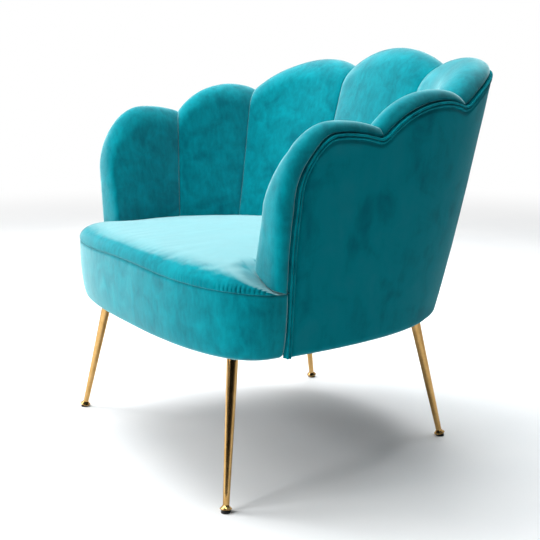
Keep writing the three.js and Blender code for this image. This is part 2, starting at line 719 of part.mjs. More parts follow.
function buildLeg(name, frame) {
  const tilt = Math.acos(frame.axis.z);
  const plateBottom = railBottom - fit - plateThickness;
  const shoulderDrop = (legTopDiameter / 2) * Math.sin(tilt) + fit;
  const shoulder = (plateBottom - shoulderDrop) / frame.axis.z;
  const bottom = footNeckHeight + fit;
  const studTop = frame.length + bossHeight;
  const bore = footStudDiameter / 2 + footThreadClearance;
  const boreTop = bottom + footStudLength + fit;
  const topRadius = legTopDiameter / 2;
  const footRadius = legFootDiameter / 2;
  const radiusAt = (level) => mix(footRadius, topRadius, (level - bottom) / (shoulder - bottom));
  const legPoints = [
    [0, shoulder - legWall * 2],
    [radiusAt(shoulder - legWall * 2) - legWall, shoulder - legWall * 2],
    [radiusAt(boreTop) - legWall, boreTop],
    [bore, boreTop],
    [bore, bottom],
    [footRadius, bottom],
    [topRadius, shoulder],
    [legStudDiameter / 2, shoulder],
    [legStudDiameter / 2, studTop],
    [0, studTop],
  ];
  piece(`leg_${name}`, onLeg(lathe(legPoints, roundSides), frame), "gold");

  const round = new THREE.CylinderGeometry(plateRadius, plateRadius, plateThickness, plateSides);
  const disc = tidyGeometry(round);
  disc.rotateX(Math.PI / 2);
  const plateMiddle = frame.start.clone().addScaledVector(frame.axis, frame.length);
  disc.translate(plateMiddle.x, plateMiddle.y, plateBottom + plateThickness / 2);
  const bossStart = (plateBottom + plateThickness / 2) / frame.axis.z;
  const boss = alongLeg(bossRadius, bossStart, frame.length + bossHeight, frame);
  const boreRadius = legStudDiameter / 2 + fit;
  const passage = alongLeg(boreRadius, shoulder, studTop + holeOverrun, frame);
  piece(`leg_plate_${name}`, subtract(join(disc, boss), passage), "steel");

  const rim = footRimDiameter / 2;
  const footPoints = [
    [0, footBottomHeight],
    [padDiameter / 2, footBottomHeight],
    [rim, footRimHeight - footRimBand / 2],
    [rim, footRimHeight + footRimBand / 2],
    [footRadius, footNeckHeight],
    [footStudDiameter / 2, footNeckHeight],
    [footStudDiameter / 2, footNeckHeight + footStudLength],
    [0, footNeckHeight + footStudLength],
  ];
  piece(`levelling_foot_${name}`, onLeg(lathe(footPoints, roundSides), frame), "gold");

  // Rubber pad: square to the leg where it meets the foot, and flat on the floor
  const pad = new THREE.CylinderGeometry(padDiameter / 2, padDiameter / 2, 1, roundSides);
  const padGeometry = tidyGeometry(pad);
  const spots = padGeometry.attributes.position;
  const spot = new THREE.Vector3();
  for (let index = 0; index < spots.count; index += 1) {
    const upper = spots.getY(index) > 0;
    spot.set(spots.getX(index), footBottomHeight - fit, spots.getZ(index));
    spot.applyQuaternion(frame.turn).add(frame.start);
    if (!upper) spot.addScaledVector(frame.axis, -spot.z / frame.axis.z);
    spots.setXYZ(index, spot.x, spot.y, spot.z);
  }
  piece(`foot_pad_${name}`, padGeometry, "rubber");
}

// Zigzag springs from the front rail to the back rail, their end bars held in clips
const springSides = 4;
const springHeight = railTop + fit + clipThickness + fit + springWire / 2;
const upward = () => new THREE.Vector3(0, 0, 1);
const railMiddle = (angle) => (railInside(angle) + railOutside(angle)) / 2;

// How far along the back rail's middle line lies, at a distance from the chair's middle
const halvings = 30;
function railAlong(across, from, to) {
  let low = from;
  let high = to;
  for (let step = 0; step < halvings; step += 1) {
    const middle = (low + high) / 2;
    if (railMiddle(middle) * Math.sin(middle * degree) < across) low = middle;
    else high = middle;
  }
  return railMiddle(low) * Math.cos(low * degree) - armFrontSetback;
}

const clipHook = springWire / 2 + fit;
function clipShape() {
  const shape = new THREE.Shape();
  const reach = clipHook + clipThickness;
  const tail = 3 * springWire;
  shape.moveTo(-reach, -reach);
  shape.lineTo(tail, -reach);
  shape.lineTo(tail, -clipHook);
  shape.lineTo(-clipHook, -clipHook);
  shape.lineTo(-clipHook, clipHook);
  shape.lineTo(springWire, clipHook);
  shape.lineTo(springWire, reach);
  shape.lineTo(-reach, reach);
  shape.closePath();
  return shape;
}

function clip(across, along, facing) {
  const geometry = new THREE.ExtrudeGeometry(clipShape(), { depth: clipWidth, bevelEnabled: false });
  const tidy = tidyGeometry(geometry);
  tidy.translate(0, 0, -clipWidth / 2);
  tidy.rotateX(Math.PI / 2);
  tidy.rotateZ((facing * Math.PI) / 2);
  tidy.translate(across, along, springHeight);
  return tidy;
}

for (let order = 0; order < springCount; order += 1) {
  const across = (order - (springCount - 1) / 2) * springSpacing;
  const back = railAlong(Math.abs(across), 0, railJointBack);
  const front = -armFrontSetback - (apronDepth - apronThickness - railThickness / 2 - fit);
  const bars = Math.round((back - front) / springPitch / 2) * 2 + 1;
  const pitch = (back - front) / (bars - 1);
  const path = [];
  for (let bar = 0; bar < bars; bar += 1) {
    const along = front + bar * pitch;
    const way = bar % 2 === 0 ? 1 : -1;
    path.push(new THREE.Vector3(across - way * springHalfWidth, along, springHeight));
    path.push(new THREE.Vector3(across + way * springHalfWidth, along, springHeight));
    if (bar < bars - 1) {
      const bend = across + way * (springHalfWidth + pitch / 2);
      path.push(new THREE.Vector3(bend, along + pitch / 2, springHeight));
    }
  }
  piece(`spring_${order + 1}`, cord(path, springWire, springSides, upward), "steel");
  piece(`spring_clip_front_${order + 1}`, clip(across, front, 1), "steel");
  piece(`spring_clip_back_${order + 1}`, clip(across, back, -1), "steel");
}

// Deck cloth over the springs, and dust cover under the rails
const sheetSideEnd = cushionFrontStart - leastStep;
function sheet(sideInset, frontInset, holes) {
  const inset = (angle) => (Math.abs(angle) < sheetSideEnd ? sideInset : frontInset);
  const outline = ringGrid.map((angle) => point(angle, outerRadius(angle, railBottom, inset(angle)), 0));
  const shape = new THREE.Shape(outline.map((spot) => new THREE.Vector2(spot.x, spot.y)));
  for (const hole of holes) {
    const path = new THREE.Path();
    path.absarc(hole.x, hole.y, plateRadius + holeOverrun, 0, 2 * Math.PI);
    shape.holes.push(path);
  }
  return shape;
}

function flatSheet(height, thickness, sideInset, frontInset, holes) {
  const options = { depth: thickness, bevelEnabled: false, curveSegments: 8 };
  const geometry = new THREE.ExtrudeGeometry(sheet(sideInset, frontInset, holes), options);
  const tidy = tidyGeometry(geometry);
  tidy.translate(0, 0, height);
  return tidy;
}
const sheetInset = apronThickness + 2 * shellFit;
piece("seat_deck", flatSheet(deckBottom, deckThickness, sheetInset, sheetInset, []), "cambric");
const legTop = (frame) => frame.start.clone().addScaledVector(frame.axis, frame.length);
const plateSpots = legFrames.map(legTop);
const dustBottom = railBottom - fit - dustCoverThickness;
const dustCover = flatSheet(dustBottom, dustCoverThickness, boardInset, sheetInset, plateSpots);
piece("dust_cover", dustCover, "cambric");

export default group;
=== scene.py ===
"""Scallop back chair: upholstery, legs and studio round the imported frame.

Lengths in the dataclasses are millimetres, as an upholsterer would give them, and become metres
when a point is placed. The chair faces -Y, +Z is up, and the floor is at zero. MM is one of them in
metres, and points nearer than WELD metres are joined.
"""

import json
import logging
import math
from dataclasses import dataclass, field
from enum import Enum
from typing import Callable, Sequence

import bmesh
import bpy
from mathutils import Matrix, Vector, noise
from mathutils.kdtree import KDTree


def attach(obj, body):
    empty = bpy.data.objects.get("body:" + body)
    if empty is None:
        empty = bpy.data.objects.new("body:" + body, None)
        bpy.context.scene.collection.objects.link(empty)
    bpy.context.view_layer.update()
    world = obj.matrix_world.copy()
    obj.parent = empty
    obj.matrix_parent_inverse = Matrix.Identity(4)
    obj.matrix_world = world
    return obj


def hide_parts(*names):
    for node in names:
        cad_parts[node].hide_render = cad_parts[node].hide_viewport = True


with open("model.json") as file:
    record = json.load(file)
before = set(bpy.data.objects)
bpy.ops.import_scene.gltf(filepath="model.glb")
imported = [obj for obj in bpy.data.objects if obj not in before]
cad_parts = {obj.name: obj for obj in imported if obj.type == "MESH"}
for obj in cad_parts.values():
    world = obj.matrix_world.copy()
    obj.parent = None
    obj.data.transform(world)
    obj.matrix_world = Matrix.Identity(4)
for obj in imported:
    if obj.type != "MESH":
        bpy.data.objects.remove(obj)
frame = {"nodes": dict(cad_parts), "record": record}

LOG = logging.getLogger("chair")
MM = 0.001
WELD = 1e-6
BODY = "chair"
WHITE = (1.0, 1.0, 1.0, 1.0)
Place = Callable[[int, int], Vector]
Tree = bpy.types.NodeTree
Socket = bpy.types.NodeSocket
Piece = bpy.types.Object
BMesh = bmesh.types.BMesh


def mix(start: float, end: float, share: float) -> float:
    """Returns the value at a share of the way from start to end."""
    return start + (end - start) * share


def clamp(value: float, low: float = 0.0, high: float = 1.0) -> float:
    """Returns the value held between low and high."""
    return min(max(value, low), high)


def smooth(value: float) -> float:
    """Returns a value from 0 to 1 eased at both ends."""
    held = clamp(value)
    return held * held * (3 - 2 * held)


def ripple(spot: Vector, size: float, seed: float = 0.0) -> float:
    """Returns smooth noise from -1 to 1.

    Args:
        spot: place in metres.
        size: distance between bumps in millimetres.
        seed: offset that gives another pattern.
    """
    return noise.noise(spot / (size * MM) + Vector((seed, seed * 1.7, seed * 0.6)))


@dataclass(frozen=True)
class Tub:
    """Plan and height of the upholstered shell, shared by every soft piece.

    A point is given by its angle from straight back, about the middle of the line where the
    arms end, by its distance from there, and by its height.
    """

    crest_height: float = 816
    arm_crest_height: float = 681
    body_bottom: float = 276
    seam_height: float = 398
    arm_line: float = -224
    bottom_half_width: float = 376
    top_half_width: float = 418
    bottom_back_depth: float = 536
    top_back_depth: float = 584
    apron_depth: float = 131
    seat_half_width: float = 336
    seat_back_depth: float = 400
    seat_side_height: float = 429
    seat_crown_height: float = 445
    crest_inner_half_width: float = 386
    crest_inner_back_depth: float = 524
    bottom_squareness: float = 2.6
    top_squareness: float = 4.4
    seat_squareness: float = 2.5
    crest_squareness: float = 4.0
    channel_crown: float = 16
    arm_corner: float = 110
    arm_front_angle: float = 92
    arm_front_fall: float = 18
    arm_foot_swell: float = 26
    arm_seat_rise: float = 30
    seam_dip: float = 4.5
    seam_crown: float = 9.5
    welt_rise: float = 7
    welt_cut: float = 9
    dip_start: float = 88
    dip_spread: float = 16
    rise_spread: float = 70
    press_height: float = 60
    pressed_share: float = 0.45
    arm_foot_power: float = 1.35
    seam_angles: tuple[float, ...] = (15.5, 42.5, 63.5)
    seam_shares: tuple[float, ...] = (0.66, 0.28, -0.08)
    arch_shares: tuple[float, ...] = (0.34, 0.33, 0.265, 0.172)
    arch_power: float = 0.85

    @property
    def girth(self) -> float:
        """Length along the outside for one degree of turn."""
        return math.radians((self.bottom_half_width + self.top_half_width) / 2)

    @staticmethod
    def outline(angle: float, half_width: float, depth: float, squareness: float) -> float:
        """Returns the distance to a rounded outline in the direction of an angle."""
        across = abs(math.sin(math.radians(angle))) / half_width
        along = abs(math.cos(math.radians(angle))) / depth
        return (across**squareness + along**squareness) ** (-1 / squareness)

    def outer(self, angle: float, height: float, inset: float = 0.0) -> float:
        """Returns the distance to the outer face at a height, drawn in by an inset."""
        share = (height - self.body_bottom) / (self.crest_height - self.body_bottom)
        half_width = mix(self.bottom_half_width, self.top_half_width, share) - inset
        if abs(angle) > 90:
            return self.outline(angle, half_width, self.apron_depth - inset, self.bottom_squareness)
        depth = mix(self.bottom_back_depth, self.top_back_depth, share) - inset
        power = mix(self.bottom_squareness, self.top_squareness, share)
        return self.outline(angle, half_width, depth, power)

    def seam(self, angle: float, height: float) -> float:
        """Returns the distance to the seams between the channels at a height."""
        share = (height - self.seat_side_height) / (self.crest_height - self.seat_side_height)
        half_width = mix(self.seat_half_width, self.crest_inner_half_width, share)
        depth = mix(self.seat_back_depth, self.crest_inner_back_depth, share)
        power = mix(self.seat_squareness, self.crest_squareness, share)
        return self.outline(min(abs(angle), 90), half_width, depth, power)

    def point(self, angle: float, distance: float, height: float) -> Vector:
        """Returns a place in metres."""
        across = distance * math.sin(math.radians(angle))
        along = distance * math.cos(math.radians(angle)) + self.arm_line
        return Vector((across, along, height)) * MM

    def span(self, index: int) -> tuple[float, float]:
        """Returns the first and last angle of a channel, counted from the middle one."""
        inner = -self.seam_angles[0] if index == 0 else self.seam_angles[index - 1]
        front = index == len(self.seam_angles)
        return inner, self.arm_front_angle if front else self.seam_angles[index]

    def index(self, angle: float) -> int:
        """Returns which channel an angle lies in, counted from the middle one."""
        return sum(1 for seam in self.seam_angles if abs(angle) > seam)

    def crest(self, angle: float) -> float:
        """Returns the height of the crest: arches between seams that step up to the back."""
        size, index = abs(angle), self.index(angle)
        inner, outer = self.span(index)
        share = (size - inner) / (outer - inner)
        rise = self.crest_height - self.arm_crest_height
        seams = [self.arm_crest_height + rise * part for part in self.seam_shares]
        start = seams[max(index - 1, 0)]
        front = index == len(self.seam_angles)
        end = start - self.arm_front_fall if front else seams[index]
        arch = max(4 * share * (1 - share), 0.0) ** self.arch_power
        return mix(start, end, share) + arch * self.arch_shares[index] * rise

    def soft_crest(self, angle: float, spread: float = 1.3) -> float:
        """Returns the crest with its valleys rounded off, as a sewn edge follows it."""
        steps = [-1, -0.6, -0.2, 0.2, 0.6, 1]
        return sum(self.crest(angle + step * spread) for step in steps) / len(steps)

    def back(self, angle: float) -> float:
        """Returns the distance along the outside from the arm front."""
        return (self.arm_front_angle - abs(angle)) * self.girth

    def angle_at(self, back: float) -> float:
        """Returns the angle at a distance along the outside from the arm front."""
        return self.arm_front_angle - back / self.girth

    def on_shell(self, column: float, depth: float) -> tuple[float, float, float]:
        """Bends the square of columns and rows round the top corner of an arm.

        Returns:
            The angle, the drop below the crest, and how far the place belongs to the arm front.
        """
        back, corner = self.back(column), self.arm_corner
        if back >= corner or depth >= corner:
            return column, depth, 1.0 if back < corner else 0.0
        forward, upward = 1 - back / corner, 1 - depth / corner
        reach = max(forward, upward)
        turn = upward / forward / 2 if forward >= upward else 1 - forward / upward / 2
        bend = turn * math.pi / 2
        angle = self.angle_at(corner * (1 - reach * math.cos(bend)))
        drop = corner * (1 - reach * math.sin(bend))
        return math.copysign(angle, column), drop, max(1 - 2 * turn, 0.0)

    def turn(self, column: float, depth: float) -> float:
        """Returns where the edge is: -1 low on the arm front, 0 to 1 in its top corner, 1 at the crest."""
        forward, upward = 1 - self.back(column) / self.arm_corner, 1 - depth / self.arm_corner
        if forward <= 0:
            return 1.0
        if upward <= 0:
            return max(upward, -1.0)
        return upward / forward / 2 if forward >= upward else 1 - forward / upward / 2

    def welt_shift(self, turn: float) -> float:
        """Returns how much nearer to the edge the piping runs than it does on the arm front."""
        cut = smooth((turn + 1) / 1.5) * (1 - smooth(turn * 2 - 1))
        return self.welt_rise * smooth(turn) - self.welt_cut * cut

    def welt_corner(self, distance: float, turn: float) -> tuple[float, float]:
        """Returns the angle and the drop below the crest of the piping in the corner of an arm."""
        radius = self.arm_corner - distance + self.welt_shift(turn)
        bend = turn * math.pi / 2
        back, drop = (self.arm_corner - radius * part for part in (math.cos(bend), math.sin(bend)))
        return self.angle_at(back), drop

    def beside_welt(self, column: float, depth: float, edge: float) -> tuple[float, float]:
        """Moves a column and depth so that an edge at one distance follows the piping."""
        corner, back = self.arm_corner, self.back(column)
        wider = 1 + self.welt_shift(self.turn(column, depth)) / (corner - edge)
        if back < corner:
            column = math.copysign(self.angle_at(corner - (corner - back) * wider), column)
        return column, min(depth, corner - (corner - depth) * wider) if depth < corner else depth

    def crown_share(self, angle: float) -> float:
        """Returns the swell of a channel between its seams, from 0 to 1."""
        size, index = abs(angle), self.index(angle)
        inner, outer = self.span(index)
        middle = 0 if index == 0 else (inner + outer) / 2
        if index == len(self.seam_angles) and size > middle:
            return 1.0
        away = size / outer if index == 0 else abs(size - middle) / (outer - middle)
        return math.sqrt(max(1 - min(away, 1) ** 2, 0))

    def along_arm(self, angle: float) -> float:
        """Returns how far along the arm an angle lies, from 0 at its seam to 1 at its front."""
        start = self.seam_angles[-1]
        return clamp((abs(angle) - start) / (self.arm_front_angle - start)) ** 2

    def face(self, angle: float, height: float) -> float:
        """Returns the distance to the seat side of the channels."""
        along = self.along_arm(angle)
        press = clamp((height - self.seam_height) / self.press_height)
        fall = self.arm_crest_height - self.seat_side_height
        down = clamp((self.arm_crest_height - height) / fall) ** 1.5
        pressed = mix(mix(self.pressed_share, 1, along), 1, press)
        crown = self.channel_crown * self.crown_share(angle) * pressed
        return self.seam(angle, height) - crown - self.arm_foot_swell * along * down

    def seam_line(self, angle: float) -> float:
        """Returns the height of the front seam, which dips beside the arms and rises to the middle."""
        size = abs(angle)
        dip = self.seam_dip * (1 - smooth((size - self.dip_start) / self.dip_spread))
        rise = self.seam_crown * smooth((size - self.arm_front_angle) / self.rise_spread)
        return self.seam_height + rise - dip

    def under_arm(self, angle: float, distance: float) -> float:
        """Returns the height where an arm front ends on the seat below it."""
        start = self.seat_half_width - self.channel_crown - self.arm_foot_swell
        share = clamp((distance - start) / (self.outer(angle, self.seam_height) - start))
        return self.seam_line(angle) + mix(self.arm_seat_rise, 1, 1 - (1 - share) ** self.arm_foot_power)


TUB = Tub()


def rounding(radius: float, along: float) -> float:
    """Returns how far an edge of a radius draws back at a distance along it."""
    short = max(radius - along, 0.0)
    return radius - math.sqrt(max(radius**2 - short**2, 0.0))


def soft_minimum(first: float, second: float, width: float) -> float:
    """Returns the lower of two heights, rounded where they meet.

    Args:
        first: one height.
        second: the other height.
        width: difference over which the two are blended.

    Returns:
        The blended lower height.
    """
    share = clamp(0.5 + 0.5 * (second - first) / width)
    return mix(second, first, share) - width * share * (1 - share)


def linear(code: str) -> tuple[float, float, float, float]:
    """Returns an sRGB hex colour as linear red, green, blue and alpha."""
    values = [int(code[place : place + 2], 16) / 255 for place in (1, 3, 5)]
    parts = [v / 12.92 if v <= 0.04045 else ((v + 0.055) / 1.055) ** 2.4 for v in values]
    return (*parts, 1.0)


def add_node(tree: Tree, kind: str, settings: dict, inputs: dict) -> bpy.types.Node:
    """Adds one node.

    Args:
        tree: node tree that gets the node.
        kind: type name of the node.
        settings: values of the node's own properties.
        inputs: by socket name or number, a value, or another node's output to link.

    Returns:
        The new node.
    """
    made = tree.nodes.new(kind)
    for name, value in settings.items():
        setattr(made, name, value)
    for name, value in inputs.items():
        if isinstance(value, Socket):
            tree.links.new(value, made.inputs[name])
        else:
            made.inputs[name].default_value = value
    return made


def ramp(tree: Tree, factor: Socket, stops: Sequence[tuple[float, str]]) -> Socket:
    """Adds a colour ramp with stops of place and hex colour, and returns its colour."""
    made = add_node(tree, "ShaderNodeValToRGB", {}, {"Fac": factor})
    while len(made.color_ramp.elements) < len(stops):
        made.color_ramp.elements.new(0.5)
    for element, (place, code) in zip(made.color_ramp.elements, stops):
        element.position = place
        element.color = linear(code)
    return made.outputs[0]


def grain_of(tree: Tree, place: Socket, size: float, detail: float, **more: float) -> Socket:
    """Adds a noise texture.

    Args:
        tree: node tree that gets the node.
        place: coordinates in metres.
        size: distance between bumps in millimetres.
        detail: how many finer layers it has.
        more: other inputs by name.

    Returns:
        Its value.
    """
    inputs = {"Vector": place, "Scale": 1 / (size * MM), "Detail": detail, **more}
    return add_node(tree, "ShaderNodeTexNoise", {}, inputs).outputs[0]


def blend_of(tree: Tree, share: float, first: Socket, second: Socket) -> Socket:
    """Adds a mix of two values by the share of the second, and returns its value."""
    return add_node(tree, "ShaderNodeMix", {"data_type": "FLOAT"}, {0: share, 2: first, 3: second}).outputs[0]


def bump_of(tree: Tree, height: Socket, relief: float, strength: float, **more: Socket) -> Socket:
    """Adds a bump as high as the relief in millimetres, and returns the normal."""
    inputs = {"Height": height, "Distance": relief * MM, "Strength": strength, **more}
    return add_node(tree, "ShaderNodeBump", {}, inputs).outputs[0]


def maths(tree: Tree, operation: str, *values: Socket | float) -> Socket:
    """Adds a maths node by the name of its operation, and returns its value."""
    return add_node(tree, "ShaderNodeMath", {"operation": operation}, dict(enumerate(values))).outputs[0]


def place_of(tree: Tree) -> Socket:
    """Returns the coordinates on the object, in metres."""
    return add_node(tree, "ShaderNodeTexCoord", {}, {}).outputs["Object"]


def scaled(tree: Tree, place: Socket, scale: Sequence[float]) -> Socket:
    """Returns coordinates multiplied along each axis: less than one draws a pattern out."""
    return add_node(tree, "ShaderNodeMapping", {}, {"Vector": place, "Scale": scale}).outputs[0]


def principled(tree: Tree, surface: Socket, inputs: dict) -> None:
    """Gives the surface a principled shader."""
    tree.links.new(add_node(tree, "ShaderNodeBsdfPrincipled", {}, inputs).outputs[0], surface)


def new_material(name: str) -> tuple[bpy.types.Material, Tree, Socket]:
    """Returns a new material, its emptied node tree and its surface socket."""
    material = bpy.data.materials.new(name)
    material.use_nodes = True
    tree = material.node_tree
    tree.nodes.clear()
    output = add_node(tree, "ShaderNodeOutputMaterial", {}, {})
    return material, tree, output.inputs["Surface"]


@dataclass(frozen=True)
class Velvet:
    """Short-pile polyester velvet: dark down into the pile, pale where its fibre tips catch light.

    Brushed patches of the nap lie differently, so they read lighter or darker.
    """

    name: str
    deep: str = "#006370"
    base: str = "#007884"
    brushed: str = "#008a96"
    tips: str = "#d0f6f9"
    patch: float = 42
    stroke: float = 10
    pile: float = 1.4
    sheen: float = 1.0
    spread: float = 0.36
    stroke_share: float = 0.38
    tip_share: float = 0.14
    # Pale colour of a painted highlight on faces that turn upwards; empty for none
    crown: str = ""

    def material(self) -> bpy.types.Material:
        """Returns the node material."""
        material, tree, surface = new_material(self.name)
        place = place_of(tree)
        patches = grain_of(tree, place, self.patch, 3.0, Roughness=0.55, Distortion=0.6)
        strokes = grain_of(tree, scaled(tree, place, (1.0, 1.0, 0.32)), self.stroke, 4.0, Roughness=0.6)
        # Real pile tips are 0.1 mm apart: drawn coarser, so that they show at all
        tips = grain_of(tree, place, self.pile, 2.0, Roughness=0.7)
        brushing = blend_of(tree, self.stroke_share, patches, strokes)
        nap = blend_of(tree, self.tip_share, brushing, tips)
        colour = ramp(tree, nap, [(0.34, self.deep), (0.5, self.base), (0.68, self.brushed)])
        # Painted highlight on faces that turn upwards, standing in for light falling on a level surface
        if self.crown:
            colour = self.painted_top_highlight(tree, colour)
        pile = bump_of(tree, tips, 0.5, 0.35)
        principled(tree, surface, {
            "Base Color": colour, "Roughness": 0.86, "IOR": 1.46, "Specular IOR Level": 0.0,
            "Sheen Weight": self.sheen, "Sheen Roughness": self.spread, "Sheen Tint": linear(self.tips),
            "Normal": bump_of(tree, patches, 1.5, 0.35, Normal=pile)})
        return material

    def painted_top_highlight(self, tree: Tree, colour: Socket) -> Socket:
        """Adds a painted highlight: faces that turn upwards are mixed towards a pale colour, mostly the crown
        colour, standing in for light falling on a level top.

        Args:
            tree: the material's nodes.
            colour: colour of upright faces.

        Returns:
            The colour of all faces.
        """
        normal = add_node(tree, "ShaderNodeNewGeometry", {}, {}).outputs["Normal"]
        upward = add_node(tree, "ShaderNodeSeparateXYZ", {}, {0: normal}).outputs["Z"]
        level = add_node(tree, "ShaderNodeMapRange", {"interpolation_type": "SMOOTHSTEP"}, {
            "Value": upward, "From Min": 0.8, "From Max": 0.99}).outputs[0]
        # Painted highlight colour: three quarters the pale crown colour, one quarter the velvet's own
        pale = add_node(tree, "ShaderNodeMixRGB", {}, {
            "Fac": 0.25, "Color1": linear(self.crown), "Color2": colour}).outputs[0]
        return add_node(tree, "ShaderNodeMixRGB", {}, {
            "Fac": level, "Color1": colour, "Color2": pale}).outputs[0]


@dataclass(frozen=True)
class PlatedSteel:
    """Steel tube, polished and plated: mirror-like, with faint polishing lines and finger haze."""

    name: str
    colour: str
    shade: str
    roughness: float = 0.14
    haze: float = 18
    lines: float = 25 / 3

    def material(self) -> bpy.types.Material:
        """Returns the node material."""
        material, tree, surface = new_material(self.name)
        place = place_of(tree)
        haze = grain_of(tree, place, self.haze, 5.0, Roughness=0.65)
        lines = grain_of(tree, scaled(tree, place, (1.0, 1.0, 14.0)), self.lines, 2.0)
        wear = blend_of(tree, 0.3, haze, lines)
        rough = add_node(tree, "ShaderNodeMapRange", {}, {
            "Value": wear, "To Min": self.roughness * 0.7, "To Max": self.roughness * 1.6}).outputs[0]
        principled(tree, surface, {
            "Base Color": ramp(tree, wear, [(0.3, self.shade), (0.62, self.colour)]), "Metallic": 1.0,
            "Roughness": rough, "Normal": bump_of(tree, lines, 0.04, 0.25)})
        return material


@dataclass(frozen=True)
class Matt:
    """A dull, plain material with grain: moulded rubber, foam, woven cloth or sawn wood."""

    name: str
    dark: str
    light: str
    grain: float
    stretch: tuple[float, float, float] = (1.0, 1.0, 1.0)
    relief: float = 0.3
    roughness: float = 0.75
    weave: float = 0.0

    def material(self) -> bpy.types.Material:
        """Returns the node material."""
        material, tree, surface = new_material(self.name)
        place = place_of(tree)
        drawn = scaled(tree, place, self.stretch)
        height = grain_of(tree, drawn, self.grain, 5.0, Roughness=0.6, Distortion=0.4)
        if self.weave:
            inputs = {"Vector": place, "Scale": 1 / (self.weave * MM) / 20, "Distortion": 0.6}
            threads = [add_node(tree, "ShaderNodeTexWave", {"bands_direction": way}, inputs).outputs["Fac"]
                       for way in ("X", "Y")]
            height = blend_of(tree, 0.6, height, maths(tree, "MULTIPLY", *threads))
        principled(tree, surface, {
            "Base Color": ramp(tree, height, [(0.3, self.dark), (0.7, self.light)]),
            "Roughness": self.roughness, "Specular IOR Level": 0.3,
            "Normal": bump_of(tree, height, self.relief, 0.6)})
        return material


class Finish(Enum):
    """The finishes of the chair, each with the record's slot that it belongs to."""

    # Short-pile polyester velvet of the channels and apron: deep teal, with a pale bloom at its turns
    VELVET = ("velvet", Velvet("teal_velvet"))
    # The same velvet on the level seat, with less sheen, so a flatter teal, and a painted highlight: faces
    # that turn upwards are mixed towards a pale grey teal
    SEAT = ("velvet", Velvet("teal_velvet_seat", tips="#d4f8fb", sheen=0.5, crown="#80a9ae"))
    # The same velvet drawn tight over the outside: even, with long soft brush marks
    OUTSIDE = ("velvet", Velvet("teal_velvet_outside", brushed="#137a86", patch=75, stroke=30, sheen=0.35))
    # The same velvet wrapped round a cord: the pile is parted, so it hardly blooms
    PIPING = ("piping", Velvet("teal_velvet_welt", patch=30, stroke=9, sheen=0.2))
    # Polished steel tube with gold-coloured plating: warm mirror with polishing lines and haze
    GOLD = ("gold", PlatedSteel("polished_gold_plating", "#c39d66", "#a98248"))
    # Zinc-plated steel of springs, clips, plates, screws and staples: grey, satin, slightly cloudy
    STEEL = ("steel", PlatedSteel("zinc_plated_steel", "#b9bdc1", "#8f9499", 0.38, 9))
    # Moulded rubber of the foot pads: black and dull, with a fine moulding grain
    RUBBER = ("rubber", Matt("moulded_rubber", "#0e0f10", "#1c1d1f", 1.2, relief=0.08, roughness=0.62))
    # Cambric of deck and dust cover: thin black cloth, matt, its threads drawn coarser to show at all
    CAMBRIC = ("cambric", Matt("non_woven_cambric", "#0f1012", "#26272b", 0.9, relief=0.12, weave=1.1))
    # Cut seat foam: pale yellow with open cells, no gloss
    FOAM = ("foam", Matt("cut_foam", "#cfc48f", "#efe6c2", 1.6, relief=0.5, roughness=0.95))
    # Planed pine of the rails: honey colour with long grain and a low satin
    TIMBER = ("timber", Matt("planed_pine", "#a97c48", "#d3aa72", 6.0, (1.0, 0.12, 1.0), 0.15, 0.6))
    # Bent plywood of the shell: face veneer with upright grain, low satin
    PLYWOOD = ("plywood", Matt("bent_plywood", "#b08a56", "#dcbc88", 3.0, (1.0, 1.0, 0.1), 0.15, 0.6))

    @property
    def slot(self) -> str:
        """Name of the record's material slot."""
        return self.value[0]


MATERIALS: dict[Finish, bpy.types.Material] = {}


def material_of(finish: Finish) -> bpy.types.Material:
    """Returns the material of a finish, made once."""
    if finish not in MATERIALS:
        MATERIALS[finish] = finish.value[1].material()
    return MATERIALS[finish]


def finished(name: str, bm: BMesh, finish: Finish, body: str, replaces: Sequence[str] = (),
             sharp: float = 40.0) -> Piece:
    """Turns a bmesh into a named piece that rides on a body.

    Args:
        name: the piece's name.
        bm: its shape, which is freed.
        finish: its finish.
        body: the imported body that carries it.
        replaces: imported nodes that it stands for.
        sharp: angle in degrees above which an edge stays sharp.

    Returns:
        The new object.
    """
    mesh = bpy.data.meshes.new(name)
    for one in bm.faces:
        one.smooth = True
    bm.to_mesh(mesh)
    bm.free()
    mesh.set_sharp_from_angle(angle=math.radians(sharp))
    piece = bpy.data.objects.new(name, mesh)
    bpy.context.scene.collection.objects.link(piece)
    mesh.materials.append(material_of(finish))
    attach(piece, body)
    finish.slot
    if replaces:
        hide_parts(*replaces)
    LOG.info("%s: %d faces", name, len(mesh.polygons))
    return piece


def placed_grid(columns: int, rows: int, place: Place) -> BMesh:
    """Returns a grid whose corner at each column and row is put where place says."""
    bm = bmesh.new()
    bmesh.ops.create_grid(bm, x_segments=columns, y_segments=rows, size=0.5)
    column_layer = bm.verts.layers.int.new("column")
    row_layer = bm.verts.layers.int.new("row")
    for vert in bm.verts:
        vert[column_layer] = round((vert.co.x + 0.5) * columns)
        vert[row_layer] = round((vert.co.y + 0.5) * rows)
        vert.co = place(vert[column_layer], vert[row_layer])
    return bm


def thickened(bm: BMesh, place: Place) -> BMesh:
    """Extrudes a placed grid to a second surface and welds the rims that meet.

    Args:
        bm: grid from placed_grid.
        place: where the second surface has its corners.

    Returns:
        The same bmesh, closed, with its faces outwards.
    """
    column_layer, row_layer = bm.verts.layers.int["column"], bm.verts.layers.int["row"]
    bmesh.ops.remove_doubles(bm, verts=bm.verts[:], dist=WELD)
    made = bmesh.ops.extrude_face_region(bm, geom=bm.faces[:])
    for vert in made["geom"]:
        if isinstance(vert, bmesh.types.BMVert):
            vert.co = place(vert[column_layer], vert[row_layer])
    bmesh.ops.remove_doubles(bm, verts=bm.verts[:], dist=WELD)
    bmesh.ops.recalc_face_normals(bm, faces=bm.faces[:])
    return bm


